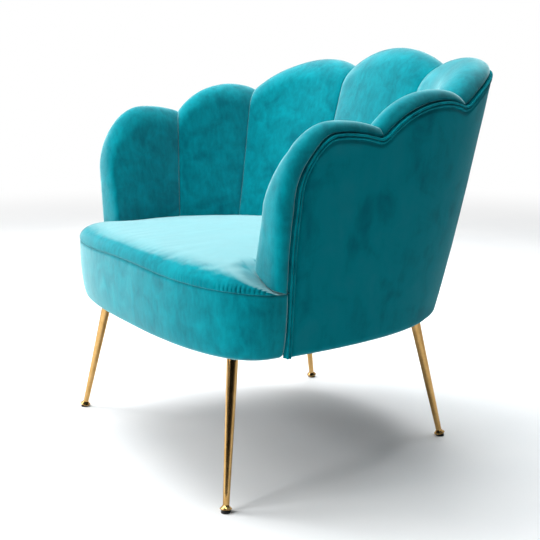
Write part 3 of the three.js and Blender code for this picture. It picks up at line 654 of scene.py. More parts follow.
def panel(name: str, finish: Finish, node: str, angles: Sequence[float], rows: int,
          spot: Callable[[float, int, int], Vector]) -> Piece:
    """Builds a padded panel of velvet between its face and its inner side.

    Args:
        name: the piece's name.
        finish: its finish.
        node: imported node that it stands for.
        angles: angles of the grid's columns.
        rows: rows of the grid.
        spot: gives a place from an angle, a row and a layer, 0 for the face and 1 for the inner side.

    Returns:
        The new object.
    """
    face, inner = (lambda column, row, layer=layer: spot(angles[column], row, layer) for layer in (0, 1))
    bm = thickened(placed_grid(len(angles) - 1, rows, face), inner)
    piece = finished(name, bm, finish, BODY, [node], 70)
    return piece


@dataclass(frozen=True)
class Plumping:
    """How a pad is filled by cloth simulation: pressure from inside, held at its seams."""

    voxel: float = 6.0
    pressure: float = 4.0
    frames: int = 20
    reach: float = 6.0
    shrink: float = -0.01

    def run(self, piece: Piece, hold: Callable[[Vector], float]) -> None:
        """Simulates a copy of a pad and moves the pad's own points as the copy's moved.

        Args:
            piece: the pad, a closed form.
            hold: how firmly a place is sewn or rests on something, from 0 to 1.
        """
        scene = bpy.context.scene
        copy = bpy.data.objects.new(piece.name + "_copy", piece.data.copy())
        scene.collection.objects.link(copy)
        remesh = copy.modifiers.new("remesh", "REMESH")
        remesh.mode, remesh.voxel_size = "VOXEL", self.voxel * MM
        self.bake(copy)
        starts = [vert.co.copy() for vert in copy.data.vertices]
        group = copy.vertex_groups.new(name="sewn")
        for place, spot in enumerate(starts):
            group.add([place], clamp(hold(spot)), "REPLACE")
        cloth = copy.modifiers.new("cloth", "CLOTH")
        cloth.settings.vertex_group_mass = "sewn"
        cloth.settings.use_pressure = True
        cloth.settings.uniform_pressure_force = self.pressure
        cloth.settings.shrink_min = self.shrink
        cloth.settings.effector_weights.gravity = 0.0
        cloth.settings.quality = 5
        cloth.point_cache.frame_start, cloth.point_cache.frame_end = 1, self.frames
        for step in range(1, self.frames + 1):
            scene.frame_set(step)
        self.bake(copy)
        tree = KDTree(len(starts))
        for place, spot in enumerate(starts):
            tree.insert(spot, place)
        tree.balance()
        moves = [vert.co - start for vert, start in zip(copy.data.vertices, starts)]
        longest = max(move.length for move in moves)
        scale = min(1.0, self.reach * MM / longest)
        for vert in piece.data.vertices:
            near = tree.find_n(vert.co, 5)
            weights = [1 / (distance + 1e-4) for _, _, distance in near]
            move = sum((moves[place] * weight for (_, place, _), weight in zip(near, weights)), Vector())
            vert.co += move * (scale * (1 - clamp(hold(vert.co))) / sum(weights))
        piece.data.update()
        bpy.data.objects.remove(copy)
        scene.frame_set(1)
        LOG.info("%s: plumped, longest move %.1f mm", piece.name, longest / MM)

    @staticmethod
    def bake(copy: Piece) -> None:
        """Applies the modifiers of an object to its mesh."""
        graph = bpy.context.evaluated_depsgraph_get()
        mesh = bpy.data.meshes.new_from_object(copy.evaluated_get(graph))
        copy.modifiers.clear()
        copy.data = mesh


def refine(piece: Piece) -> None:
    """Adds one level of subdivision to a piece."""
    soft = piece.modifiers.new("subdivision", "SUBSURF")
    soft.levels = soft.render_levels = 1


@dataclass
class BackChannels:
    """Seven padded channels that roll over the scalloped crest down to the piping."""

    inner_roll: float = 46
    outer_roll: float = 30
    front_roll: float = 18
    crest_place: float = 0.58
    low_edge: float = 388
    foot_gap: float = 0.6
    foot_tuck: float = 3.0
    foot_reach: float = 5.0
    across: int = 46
    arm_across: int = 18
    roll_steps: int = 18
    corner_steps: int = 12
    low_steps: int = 52
    plumping: Plumping = field(default_factory=lambda: Plumping(reach=3.5))

    @property
    def depths(self) -> list[float]:
        """Distances from the crest, close together where the pad rolls over."""
        turns = [step / self.roll_steps * math.pi / 2 for step in range(self.roll_steps + 1)]
        roll = [self.inner_roll * (1 - math.cos(turn)) for turn in turns]
        count = self.corner_steps
        rest = [mix(self.inner_roll, TUB.arm_corner, step / count) for step in range(1, count + 1)]
        return roll + rest

    def columns(self, index: int) -> list[float]:
        """Returns the angles of the grid columns of one channel."""
        inner, outer = TUB.span(index)
        front = index == len(TUB.seam_angles)
        end = TUB.angle_at(TUB.arm_corner) if front else outer - 0.004
        lead, halves = (self.arm_across, 1) if front else (self.across, 2)
        turns = [step / lead * math.pi * halves / 2 for step in range(lead + 1)]
        shares = [(1 - math.cos(turn)) / halves for turn in turns]
        angles = [mix(inner + 0.004, end, share) for share in shares]
        if front:
            angles += [TUB.angle_at(depth) for depth in reversed(self.depths[:-1])]
        return angles

    def profile(self, face: float, middle: float, distance: float, roll: float, power: float) -> float:
        """Returns the distance of a rolled edge between its crest line and its face."""
        depth = clamp(1 - distance / roll)
        return mix(middle, face, (1 - depth**power) ** (1 / power))

    def spot(self, column: float, row: int, outside: bool) -> Vector:
        """Returns the place of a column and row, on the seat side or on the outside."""
        depths = self.depths
        depth = depths[min(row, len(depths) - 1)]
        angle, drop, frontness = TUB.on_shell(column, depth)
        distance = min(TUB.back(column), depth)
        share = clamp((row - len(depths) + 1) / self.low_steps)
        power = mix(2.0, 3.2, frontness)
        crest = mix(TUB.crest(angle), TUB.soft_crest(angle), smooth(distance / 30) if outside else 0.0)
        start = crest - drop
        in_front = 1 - smooth((TUB.back(column) - 8) / 30)
        inner_roll = mix(self.inner_roll, self.front_roll, frontness)

        def radius(height: float, tuck: float) -> float:
            towards_welt = distance + TUB.welt_shift(TUB.turn(column, max(depth, start + drop - height)))
            inside = TUB.face(angle, height) + tuck
            middle = mix(inside, TUB.outer(angle, height), self.crest_place)
            if not outside:
                return self.profile(inside, middle, distance, inner_roll, power)
            drawn_in = 3.0 * smooth((towards_welt - 15) / 11) + 18 * smooth((towards_welt - 25) / 7)
            valley = 6.0 * (1 - TUB.crown_share(angle)) * (1 - smooth((distance - 6) / 20))
            wall = TUB.outer(angle, height) - (drawn_in + valley)
            return self.profile(wall, middle, distance, self.outer_roll, power)

        underside = TUB.under_arm(angle, radius(TUB.seam_height + 12, 0.0)) + self.foot_gap
        end = mix(self.low_edge, max(underside, self.low_edge), in_front)
        height = mix(start, end, share)
        tuck = self.foot_tuck * in_front * (1 - clamp((height - end) / self.foot_reach)) ** 2
        spot = TUB.point(angle, radius(height, 0.0 if outside else tuck), height)
        sway = 0.5 * ripple(spot, 70, 3.0) * smooth(distance / 60)
        return spot + (TUB.point(angle, 1.0, 0.0) - TUB.point(angle, 0.0, 0.0)) * sway

    @staticmethod
    def hold(spot: Vector) -> float:
        """Returns how firmly a channel is held: at its seams, at the welt and below the seat."""
        across, along = spot.x / MM, spot.y / MM - TUB.arm_line
        angle, height = math.degrees(math.atan2(across, along)), spot.z / MM
        if abs(angle) > TUB.arm_front_angle:
            angle = math.copysign(TUB.arm_front_angle, angle)
        inward = TUB.outer(angle, height) - math.hypot(across, along)
        sewn = 1 - smooth((TUB.crown_share(angle) - 0.12) / 0.4)
        below = 1 - smooth((height - TUB.seat_side_height) / 25)
        welt = (1 - smooth((inward - 6) / 14)) * smooth((TUB.crest(angle) - height - 8) / 12)
        return max(sewn, below, welt)

    def build(self) -> list[Piece]:
        """Builds the channels, left arm to right arm, and returns them."""
        pieces = []
        places = range(-len(TUB.seam_angles), len(TUB.seam_angles) + 1)
        rows = len(self.depths) - 1 + self.low_steps
        for order, place in enumerate(places, 1):
            side = -1 if place < 0 else 1
            angles = [side * angle for angle in self.columns(abs(place))]

            def inside(column: int, row: int) -> Vector:
                return self.spot(angles[column], rows - row, False)

            def outside(column: int, row: int) -> Vector:
                return self.spot(angles[column], rows - row, True)

            bm = thickened(placed_grid(len(angles) - 1, rows, inside), outside)
            node = f"back_channel_{order}"
            piece = finished(f"channel_pad_{order}", bm, Finish.VELVET, BODY, [node], 60)
            self.plumping.run(piece, self.hold)
            pieces.append(piece)
        return pieces


@dataclass
class DoublePiping:
    """Two welt cords side by side along the outer edge of the channels, on a sewn tape."""

    cord: float = 4.6
    first: float = 30.9
    second: float = 36.1
    proud: float = 1.0
    tape: tuple[tuple[float, float], ...] = ((26.5, 8.5), (28.4, 6.5), (29.6, 3.2), (38.0, 3.2), (41.0, 4.0))
    front_steps: int = 36
    corner_steps: int = 60
    over_steps: int = 300

    def path(self, distance: float, inset: float) -> list[Vector]:
        """Returns the points of a line at a distance below the crest, arm front to arm front."""
        column = TUB.angle_at(distance)
        half: list[Vector] = []
        low_top = TUB.soft_crest(column) - TUB.arm_corner
        for step in range(self.front_steps):
            height = mix(TUB.body_bottom, low_top, step / self.front_steps)
            turn = TUB.turn(column, TUB.soft_crest(column) - height)
            angle = TUB.angle_at(distance - TUB.welt_shift(turn))
            half.append(TUB.point(angle, TUB.outer(angle, height, inset), height))
        corner = [TUB.welt_corner(distance, step / self.corner_steps) for step in range(self.corner_steps)]
        steps = range(self.over_steps + 1)
        over = [mix(TUB.angle_at(TUB.arm_corner), 0.0, step / self.over_steps) for step in steps]
        for angle, drop in corner + [(angle, distance - TUB.welt_rise) for angle in over]:
            height = TUB.soft_crest(angle) - drop
            half.append(TUB.point(angle, TUB.outer(angle, height, inset), height))
        other = [Vector((-spot.x, spot.y, spot.z)) for spot in reversed(half[:-1])]
        return self.eased(half + other)

    @staticmethod
    def eased(points: list[Vector], passes: int = 3) -> list[Vector]:
        """Returns the points with small corners smoothed away."""
        for _ in range(passes):
            inner = [(a + b * 2 + c) / 4 for a, b, c in zip(points, points[1:], points[2:])]
            points = [points[0], *inner, points[-1]]
        return points

    @staticmethod
    def tube(name: str, points: Sequence[Vector], radius: float) -> BMesh:
        """Returns a round tube along points, as a bmesh."""
        curve = bpy.data.curves.new(name, "CURVE")
        curve.dimensions, curve.bevel_depth, curve.bevel_resolution = "3D", radius * MM, 3
        curve.use_fill_caps = True
        line = curve.splines.new("POLY")
        line.points.add(len(points) - 1)
        for place, spot in zip(line.points, points):
            place.co = (*spot, 1.0)
        holder = bpy.data.objects.new(name, curve)
        mesh = holder.to_mesh()
        bm = bmesh.new()
        bm.from_mesh(mesh)
        holder.to_mesh_clear()
        bpy.data.objects.remove(holder)
        bmesh.ops.remove_doubles(bm, verts=bm.verts[:], dist=WELD)
        bmesh.ops.recalc_face_normals(bm, faces=bm.faces[:])
        return bm

    def build(self) -> list[Piece]:
        """Builds both cords and the tape that they are sewn to."""
        pieces = []
        for name, distance in (("inner", self.first), ("outer", self.second)):
            points = self.path(distance, self.cord / 2 - self.proud)
            wavy = [spot + Vector((0, 0, 0.25 * MM * ripple(spot, 14, distance))) for spot in points]
            bm = self.tube(f"welt_{name}", wavy, self.cord / 2)
            pieces.append(finished(f"welt_{name}", bm, Finish.PIPING, BODY, [f"piping_{name}"], 80))
        lines = [self.path(distance, inset) for distance, inset in self.tape]
        count = len(lines[0]) - 1
        bm = thickened(placed_grid(count, 4, lambda column, row: lines[row][column]),
                       lambda column, row: lines[row][column] - self.outward(lines[row][column]) * 2 * MM)
        pieces.append(finished("welt_tape", bm, Finish.PIPING, BODY))
        return pieces

    @staticmethod
    def outward(spot: Vector) -> Vector:
        """Returns the level direction away from the middle of the arm line."""
        return Vector((spot.x, spot.y - TUB.arm_line * MM, 0)).normalized()


@dataclass
class OutsideCover:
    """Plain velvet cover of the outside, edge to edge between the two arm fronts."""

    top: float = 39.0
    thickness: float = 7.5
    edge_drop: float = 3.4
    edge_reach: float = 7.0
    under: float = 12.0
    rows: int = 64
    bottom_radius: float = 7.0
    corner_rows: int = 18
    under_rows: int = 5
    over_steps: int = 90

    def depth(self, row: int) -> float:
        """Returns the distance from the edge of a row in the top corner, closer near the piping."""
        return mix(self.top, TUB.arm_corner, (row / self.corner_rows) ** 1.4)

    def columns(self) -> list[float]:
        """Returns the angles of the grid columns, arm front to arm front."""
        limit = TUB.angle_at(self.top)
        near = [TUB.angle_at(self.depth(step)) for step in range(self.corner_rows)]
        steps = range(self.over_steps + 1)
        far = [mix(TUB.angle_at(TUB.arm_corner), 0.0, step / self.over_steps) for step in steps]
        half = [min(angle, limit) for angle in near] + far
        return half + [-angle for angle in reversed(half[:-1])]

    def spot(self, column: float, row: int, layer: int) -> Vector:
        """Returns the place of a column and row on the face or on the lining side."""
        if row <= self.corner_rows:
            depth = self.depth(row)
            angle, drop, _ = TUB.on_shell(*TUB.beside_welt(column, depth, self.top))
            height = TUB.soft_crest(angle) - drop
        else:
            angle, depth = column, TUB.arm_corner
            share = clamp((row - self.corner_rows) / (self.rows - self.corner_rows - self.under_rows))
            height = mix(TUB.soft_crest(angle) - depth, TUB.body_bottom, share**0.9)
            angle = TUB.beside_welt(column, TUB.soft_crest(angle) - height, self.top)[0]
        rim = min(TUB.back(column), depth) - self.top
        inset = self.edge_drop * (1 - smooth(rim / self.edge_reach))
        inset += rounding(self.bottom_radius, height - TUB.body_bottom)
        beyond = row - (self.rows - self.under_rows)
        if beyond > 0:
            inset += self.under * beyond / self.under_rows
        spot = TUB.point(angle, TUB.outer(angle, height, inset + layer * self.thickness), height)
        if layer == 0:
            wave = 0.9 * ripple(spot, 130, 8.0) + 0.35 * ripple(spot, 45, 2.0)
            spot += DoublePiping.outward(spot) * (wave - 0.6) * MM * smooth(rim / 25.0)
        if layer == 1 and beyond >= 0:
            spot.z += 1.2 * MM
        return spot

    def build(self) -> Piece:
        """Builds the cover and returns it."""
        angles = self.columns()
        return panel("outside_cover_panel", Finish.OUTSIDE, "outside_cover", angles, self.rows, self.spot)


@dataclass
class Apron:
    """Padded band below the seat seam, from one arm front round to the other."""

    thickness: float = 19.0
    bulge: float = 3.0
    taper: float = 5.0
    tuck: float = 3.0
    top_edge: float = 4.0
    top_drop: float = 2.6
    end_drop: float = 4.0
    end_reach: float = 8.0
    bottom_radius: float = 7.0
    under: float = 12.0
    columns: int = 300
    rows: int = 34
    under_rows: int = 4
    start: float = 88.15

    def angles(self) -> list[float]:
        """Returns angles even along the outline, arm front to arm front."""
        power, angles = 2 / TUB.bottom_squareness, []
        for step in range(self.columns + 1):
            turn = step / self.columns * math.pi
            across = TUB.bottom_half_width * math.copysign(abs(math.cos(turn)) ** power, math.cos(turn))
            along = TUB.apron_depth * math.sin(turn) ** power
            angles.append(90 + math.degrees(math.atan2(along, across)))
        inside = [angle for angle in angles if 90.6 < angle < 269.4]
        ends = [self.start + step * 0.4 for step in range(6)]
        return ends + inside + [360 - angle for angle in reversed(ends)]

    def spot(self, angle: float, row: int, layer: int) -> Vector:
        """Returns the place of an angle and row on the face or on the inner side."""
        share = clamp(1 - row / (self.rows - self.under_rows))
        turned = angle - 360 if angle > 180 else angle
        seam = TUB.seam_line(turned)
        height = mix(TUB.body_bottom + 0.2, seam - 0.2, share)
        inset = self.tuck * max(1 - share * 4, 0) ** 2 - self.bulge * math.sin(share * math.pi)
        inset += self.taper * (1 - share) + 0.5
        from_top = seam - height
        inset += self.top_drop * (1 - clamp(from_top / self.top_edge)) ** 2
        inset += rounding(self.bottom_radius, height - TUB.body_bottom)
        end = (abs(turned) - self.start) * TUB.girth
        inset += self.end_drop * (1 - clamp(end / self.end_reach)) ** 2
        beyond = row - (self.rows - self.under_rows)
        if beyond > 0:
            inset += self.under * beyond / self.under_rows
        if layer == 1:
            inset = max(self.thickness, inset + 1.5)
        spot = TUB.point(turned, TUB.outer(turned, height, inset), height)
        if layer == 0:
            drawn = Vector((spot.x, spot.y, spot.z * 0.15))
            fold = 0.5 * ripple(drawn, 16, 5.0) * (1 - smooth(from_top / 22.0))
            spot += DoublePiping.outward(spot) * (fold + 0.5 * ripple(spot, 60, 4.0)) * MM * smooth(end / 10)
        if layer == 1 and beyond >= 0:
            spot.z += 1.0 * MM
        return spot

    def build(self) -> Piece:
        """Builds the apron and returns it."""
        return panel("front_apron", Finish.VELVET, "seat_apron", self.angles(), self.rows, self.spot)


@dataclass
class SeatPad:
    """Tight crowned seat, rolled down to the front seam and gathered beside the arm fronts."""

    rings: int = 68
    base_gap: float = 0.2
    clearance: float = 1.2
    front_roll: float = 82
    corner_fall: float = 21
    arm_inside: float = 294
    crease_line: float = 11
    inner_slope: float = 0.55
    front_slope: float = 0.4
    blend: float = 9
    edge_roll: float = 5
    front_start: float = 85.9
    front_spread: float = 2.1
    seam_tuck: float = 2.6
    seam_reach: float = 5.0
    under_tuck: float = 3.0
    pinch_reach: float = 34
    roll_power: float = 2.6
    gather_height: float = 17
    gather_width: float = 9.5
    gather_depth: float = 3.4
    plumping: Plumping = field(default_factory=lambda: Plumping(reach=7.0, shrink=-0.02))

    def angles(self) -> list[float]:
        """Returns the angles of the grid columns, once round the seat."""
        front = [angle for angle in Apron(columns=620).angles() if 93.0 < angle < 180]
        back = [step * 1.4 for step in range(60)]
        join = [84.0 + step * 0.3 for step in range(31)]
        half = back + join + front
        return half + [180.0] + [360 - angle for angle in reversed(half[1:])]

    def top(self, spot: Vector) -> float:
        """Returns the height of the seat, crowned towards the channels and rolled at the front.

        Args:
            spot: place in the plan, in millimetres.

        Returns:
            The height in millimetres.
        """
        forward = max(TUB.arm_line - spot.y, 0.0)
        angle = abs(math.degrees(math.atan2(spot.x, spot.y - TUB.arm_line)))
        distance = math.hypot(spot.x, spot.y - TUB.arm_line)
        half_width = TUB.outer(90, TUB.seam_height)
        rim = clamp(self.from_rim(abs(spot.x), forward) / self.front_roll)
        full = (1 - (1 - rim) ** self.roll_power) ** (1 / self.roll_power)
        crown = TUB.seat_crown_height - self.corner_fall * min(abs(spot.x) / half_width, 1.0) ** 3
        rolled = mix(TUB.seam_line(angle) + 0.8, crown, full)
        side = mix(TUB.seat_crown_height, TUB.seat_side_height, clamp(distance / self.reach(angle)) ** 3)
        behind = smooth((spot.y - TUB.arm_line + 12) / 60)
        behind *= 1 - smooth((distance - self.reach(angle)) / 8)
        height = mix(rolled, side, behind)
        inside, before = max(self.arm_inside - abs(spot.x), 0.0), max(forward - self.crease_line, 0.0)
        ceiling = TUB.under_arm(92, abs(spot.x)) - 0.8 + self.inner_slope * inside + self.front_slope * before
        return soft_minimum(height, ceiling + 200 * (1 - smooth((angle - 80) / 8)), self.blend)

    def from_rim(self, across: float, forward: float) -> float:
        """Returns the distance in the plan to the front edge of the seat."""
        power = TUB.bottom_squareness
        half_width = TUB.outer(90, TUB.seam_height)
        level = ((across / half_width) ** power + (forward / TUB.apron_depth) ** power) ** (1 / power)
        return (1 - level) * mix(half_width, TUB.apron_depth, smooth(forward / TUB.apron_depth * 1.1))

    def reach(self, angle: float) -> float:
        """Returns a smooth distance to the channels, as if they had no seams."""
        width = TUB.seam(angle, TUB.seat_side_height)
        return width - (TUB.channel_crown + TUB.arm_foot_swell) * TUB.along_arm(angle)

    def frontness(self, size: float) -> float:
        """Returns 0 where the seat meets the channels and 1 where it meets the front seam."""
        return smooth((size - self.front_start) / self.front_spread)

    def edge(self, angle: float) -> float:
        """Returns the distance to the edge of the seat."""
        size = abs(angle)
        inner = TUB.face(size, TUB.seat_side_height) - self.clearance
        outer = TUB.outer(size, TUB.seam_height)
        return mix(inner, outer, self.frontness(size))

    def spot(self, angle: float, share: float, layer: int) -> Vector:
        """Returns the place at an angle and a share of the way out, on top or underneath."""
        turned = angle - 360 if angle > 180 else angle
        size = abs(turned)
        edge = self.edge(turned)
        distance = edge * share
        base = mix(TUB.seam_line(0), TUB.seam_line(turned), share**2) + self.base_gap
        front = self.frontness(size)
        if layer == 1:
            return TUB.point(turned, distance - self.under_tuck * front * share, base)
        rim = edge - distance
        height = self.top(TUB.point(turned, distance, 0) / MM)
        height -= rounding(self.edge_roll, rim) * (1 - front)
        height = max(height, base + 0.4)
        tuck = self.seam_tuck * front * (1 - clamp((height - base) / self.seam_reach)) ** 2
        spot = TUB.point(turned, distance - tuck, height)
        gather = self.gather(spot, size, (height - base) / self.gather_height)
        spot -= DoublePiping.outward(spot) * (self.gather_depth * gather * MM)
        spot.z += 0.9 * MM * ripple(spot, 90, 11.0) * smooth(rim / 40.0)
        spot.z += 1.5 * MM * self.pinch(spot) * ripple(Vector((spot.x, spot.y * 0.4, 0)), 6.5, 4.0)
        return spot

    def gather(self, spot: Vector, size: float, above: float) -> float:
        """Returns how deep the velvet is gathered beside an arm front, from 0 to 1.

        Args:
            spot: place in metres.
            size: angle from straight back, without its sign.
            above: height over the front seam as a share of the gathers' height.
        """
        place = (abs(spot.x) / MM - 0.6 * (TUB.arm_line - spot.y / MM)) / self.gather_width
        wander = ripple(Vector((spot.x, 0, 0)), 40, 1.0) * 2.5
        valley = (0.5 + 0.5 * math.cos((place + wander) * math.tau)) ** 2.5
        valley *= 0.8 + 0.7 * ripple(Vector((spot.x, 0, 0)), 13, 6.0)
        fading = 1 - 0.65 * smooth((size - 103) / 6) - 0.35 * smooth((size - 114) / 10)
        gather = smooth((size - 92) / 2.5) * fading
        gather *= (1 - smooth(above - 0.1)) * smooth(above * 6)
        return gather * valley

    def pinch(self, spot: Vector) -> float:
        """Returns how much the velvet is crumpled near the corner under an arm front, from 0 to 1."""
        corner = Vector((math.copysign(self.arm_inside, spot.x), TUB.arm_line - 12, 0)) * MM
        away = (Vector((spot.x, spot.y, 0)) - corner).length / MM
        in_front = smooth((TUB.arm_line - 4 - spot.y / MM) / 8)
        return (1 - smooth(away / self.pinch_reach)) * smooth(away / 6) * in_front

    def hold(self, spot: Vector) -> float:
        """Returns how firmly the seat is held: all round its edge and underneath."""
        across, along = spot.x / MM, spot.y / MM - TUB.arm_line
        rim = self.edge(math.degrees(math.atan2(across, along))) - math.hypot(across, along)
        under = 1 - smooth((spot.z / MM - TUB.seam_height - 12) / 14)
        return max(1 - smooth((rim - 3) / 22), under)

    def build(self) -> Piece:
        """Builds the seat pad and returns it."""
        angles = self.angles()
        count = len(angles)
        shares = [1 - (1 - step / self.rings) ** 1.9 for step in range(self.rings + 1)]

        def place(column: int, row: int, layer: int = 0) -> Vector:
            return self.spot(angles[column % count], shares[row], layer)

        bm = thickened(placed_grid(count, self.rings, place), lambda column, row: place(column, row, 1))
        piece = finished("seat_pad", bm, Finish.SEAT, BODY, ["seat_cushion"], 70)
        self.plumping.run(piece, self.hold)
        return piece


@dataclass(frozen=True)
class LegPlace:
    """One leg: where its axis meets the floor and the underside of the frame."""

    name: str
    foot: tuple[float, float]
    top: tuple[float, float]
    rise: float = 283

    @property
    def start(self) -> Vector:
        """Where the axis meets the floor, in metres."""
        return Vector((*self.foot, 0.0)) * MM

    @property
    def axis(self) -> Vector:
        """Direction up the leg."""
        return (Vector((*self.top, self.rise)) * MM - self.start).normalized()

    @property
    def matrix(self) -> Matrix:
        """Turns a shape made along +Z from zero onto the leg's axis."""
        turn = Vector((0, 0, 1)).rotation_difference(self.axis).to_matrix().to_4x4()
        return Matrix.Translation(self.start) @ turn


@dataclass
class LegSet:
    """Four tapered tube legs, their plates, levelling feet and rubber pads."""

    top_diameter: float = 22
    foot_diameter: float = 12
    plate_radius: float = 22
    plate_thickness: float = 3
    plate_top: float = 282.7
    rim_diameter: float = 22.5
    neck: float = 12.5
    rim: float = 6.4
    band: float = 1.2
    bottom: float = 3.6
    pad_diameter: float = 17.5
    stud_diameter: float = 6
    stud_length: float = 30
    pitch: float = 1.0
    screw_circle: float = 16.5
    screw_low_radius: float = 2.4
    screw_high_radius: float = 3.8
    screw_head: float = 1.6
    fit: float = 0.3

    places: tuple[LegPlace, ...] = (
        LegPlace("front_left", (-335, -312), (-279, -263)),
        LegPlace("front_right", (335, -312), (279, -263)),
        LegPlace("back_left", (-245, 265), (-206, 209)),
        LegPlace("back_right", (245, 265), (206, 209)),
    )

    @staticmethod
    def turned(profile: Sequence[tuple[float, float]], matrix: Matrix, steps: int = 72) -> BMesh:
        """Spins a profile of radius and height into a closed turned shape.

        Args:
            profile: pairs of radius and height in millimetres, from axis to axis.
            matrix: where the shape goes.
            steps: segments round.

        Returns:
            The placed bmesh.
        """
        bm = bmesh.new()
        verts = [bm.verts.new((radius * MM, 0, height * MM)) for radius, height in profile]
        edges = [bm.edges.new(pair) for pair in zip(verts, verts[1:])]
        bmesh.ops.spin(bm, geom=verts + edges, cent=(0, 0, 0), axis=(0, 0, 1), angle=math.tau,
                       steps=steps, use_merge=True)
        bmesh.ops.remove_doubles(bm, verts=bm.verts[:], dist=WELD)
        bmesh.ops.recalc_face_normals(bm, faces=bm.faces[:])
        bmesh.ops.transform(bm, matrix=matrix, verts=bm.verts[:])
        return bm

    @staticmethod
    def rounded(profile: Sequence[tuple[float, float]], radius: float) -> list[tuple[float, float]]:
        """Returns a profile whose inner corners are cut by small curves of the radius."""
        points = [Vector(pair) for pair in profile]
        result = [points[0]]
        for before, here, after in zip(points, points[1:], points[2:]):
            reach = min(radius, (here - before).length * 0.45, (after - here).length * 0.45)
            start = here + (before - here).normalized() * reach
            end = here + (after - here).normalized() * reach
            for step in range(4):
                share = step / 3
                result.append(start.lerp(here, share).lerp(here.lerp(end, share), share))
        result.append(points[-1])
        return [(max(spot.x, 0.0), spot.y) for spot in result]

    def tube(self, place: LegPlace) -> None:
        """Builds one leg tube with its swaged top collar."""
        tilt = math.acos(place.axis.z)
        top = (self.plate_top - self.plate_thickness) / place.axis.z
        shoulder = top - self.top_diameter / 2 * math.tan(tilt) - self.fit
        low, high = self.foot_diameter / 2, self.top_diameter / 2
        bottom = self.neck + self.fit
        profile = [(0, bottom + 2), (low - 1.6, bottom + 2), (low - 1.6, bottom), (low, bottom)]
        profile += [(mix(low, high, step / 12), mix(bottom, shoulder, step / 12)) for step in range(1, 13)]
        profile += [(4.0, shoulder), (4.0, top + 14), (0, top + 14)]
        bm = self.turned(self.rounded(profile, 0.5), place.matrix)
        finished(f"tube_leg_{place.name}", bm, Finish.GOLD, BODY, [f"leg_{place.name}"], 50)

    def plate(self, place: LegPlace) -> None:
        """Builds one mounting plate and its three screws."""
        centre = place.start + place.axis * (self.plate_top / place.axis.z * MM)
        low, radius = self.plate_top - self.plate_thickness, self.plate_radius
        profile = [(0, low), (radius, low), (radius, self.plate_top), (0, self.plate_top)]
        matrix = Matrix.Translation((centre.x, centre.y, 0))
        bm = self.turned(self.rounded(profile, 0.7), matrix, 64)
        finished(f"mounting_plate_{place.name}", bm, Finish.STEEL, BODY, [f"leg_plate_{place.name}"], 50)
        screws = bmesh.new()
        for turn in range(3):
            spin = Matrix.Rotation(math.tau * turn / 3 + 0.5, 4, "Z")
            spot = matrix @ spin @ Matrix.Translation((self.screw_circle * MM, 0, low * MM))
            made = bmesh.ops.create_cone(
                screws, cap_ends=True, segments=24, radius1=self.screw_low_radius * MM,
                radius2=self.screw_high_radius * MM, depth=self.screw_head * MM, matrix=spot)
            faces = {one for vert in made["verts"] for one in vert.link_faces}
            lowest = min(faces, key=lambda one: one.calc_center_median().z)
            for rim, depth in ((1.2, 0.0), (0.3, -0.8)):
                bmesh.ops.inset_region(screws, faces=[lowest], thickness=rim * MM, depth=depth * MM)
        finished(f"plate_screws_{place.name}", screws, Finish.STEEL, BODY, (), 30)

    def foot(self, place: LegPlace) -> None:
        """Builds one levelling foot: double cone cap and threaded stud."""
        low, stud = self.foot_diameter / 2, self.stud_diameter / 2
        wide = self.rim_diameter / 2
        profile = [(0, self.bottom), (self.pad_diameter / 2, self.bottom), (wide, self.rim - self.band / 2),
                   (wide, self.rim + self.band / 2), (low, self.neck), (stud - 0.3, self.neck)]
        count = int((self.stud_length - 1) / self.pitch)
        for turn in range(count):
            height = self.neck + turn * self.pitch
            profile += [(stud, height + self.pitch / 2), (stud - 0.4, height + self.pitch)]
        profile += [(0, self.neck + self.stud_length - 0.5)]
        head = self.rounded(profile[:6], 0.45)
        bm = self.turned(head[:-1] + profile[5:], place.matrix, 64)
        body = f"foot_{place.name}"
        finished(f"screw_foot_{place.name}", bm, Finish.GOLD, body, [f"levelling_foot_{place.name}"], 40)

    def pad(self, place: LegPlace) -> None:
        """Builds one rubber pad: square to the leg above and flat on the floor below."""
        radius, top = self.pad_diameter / 2, self.bottom - self.fit
        profile = [(0, -9), (radius - 0.5, -9), (radius, -8.4), (radius, top), (0, top)]
        bm = self.turned(self.rounded(profile, 0.35), place.matrix, 56)
        for vert in bm.verts:
            if vert.co.z < 0:
                vert.co -= place.axis * (vert.co.z / place.axis.z)
        bmesh.ops.remove_doubles(bm, verts=bm.verts[:], dist=2e-5)
        node = f"foot_pad_{place.name}"
        finished(f"rubber_pad_{place.name}", bm, Finish.RUBBER, f"foot_{place.name}", [node], 40)

    def build(self) -> None:
        """Builds all four legs with what belongs to them."""
        for place in self.places:
            self.tube(place)
            self.plate(place)
            self.foot(place)
            self.pad(place)


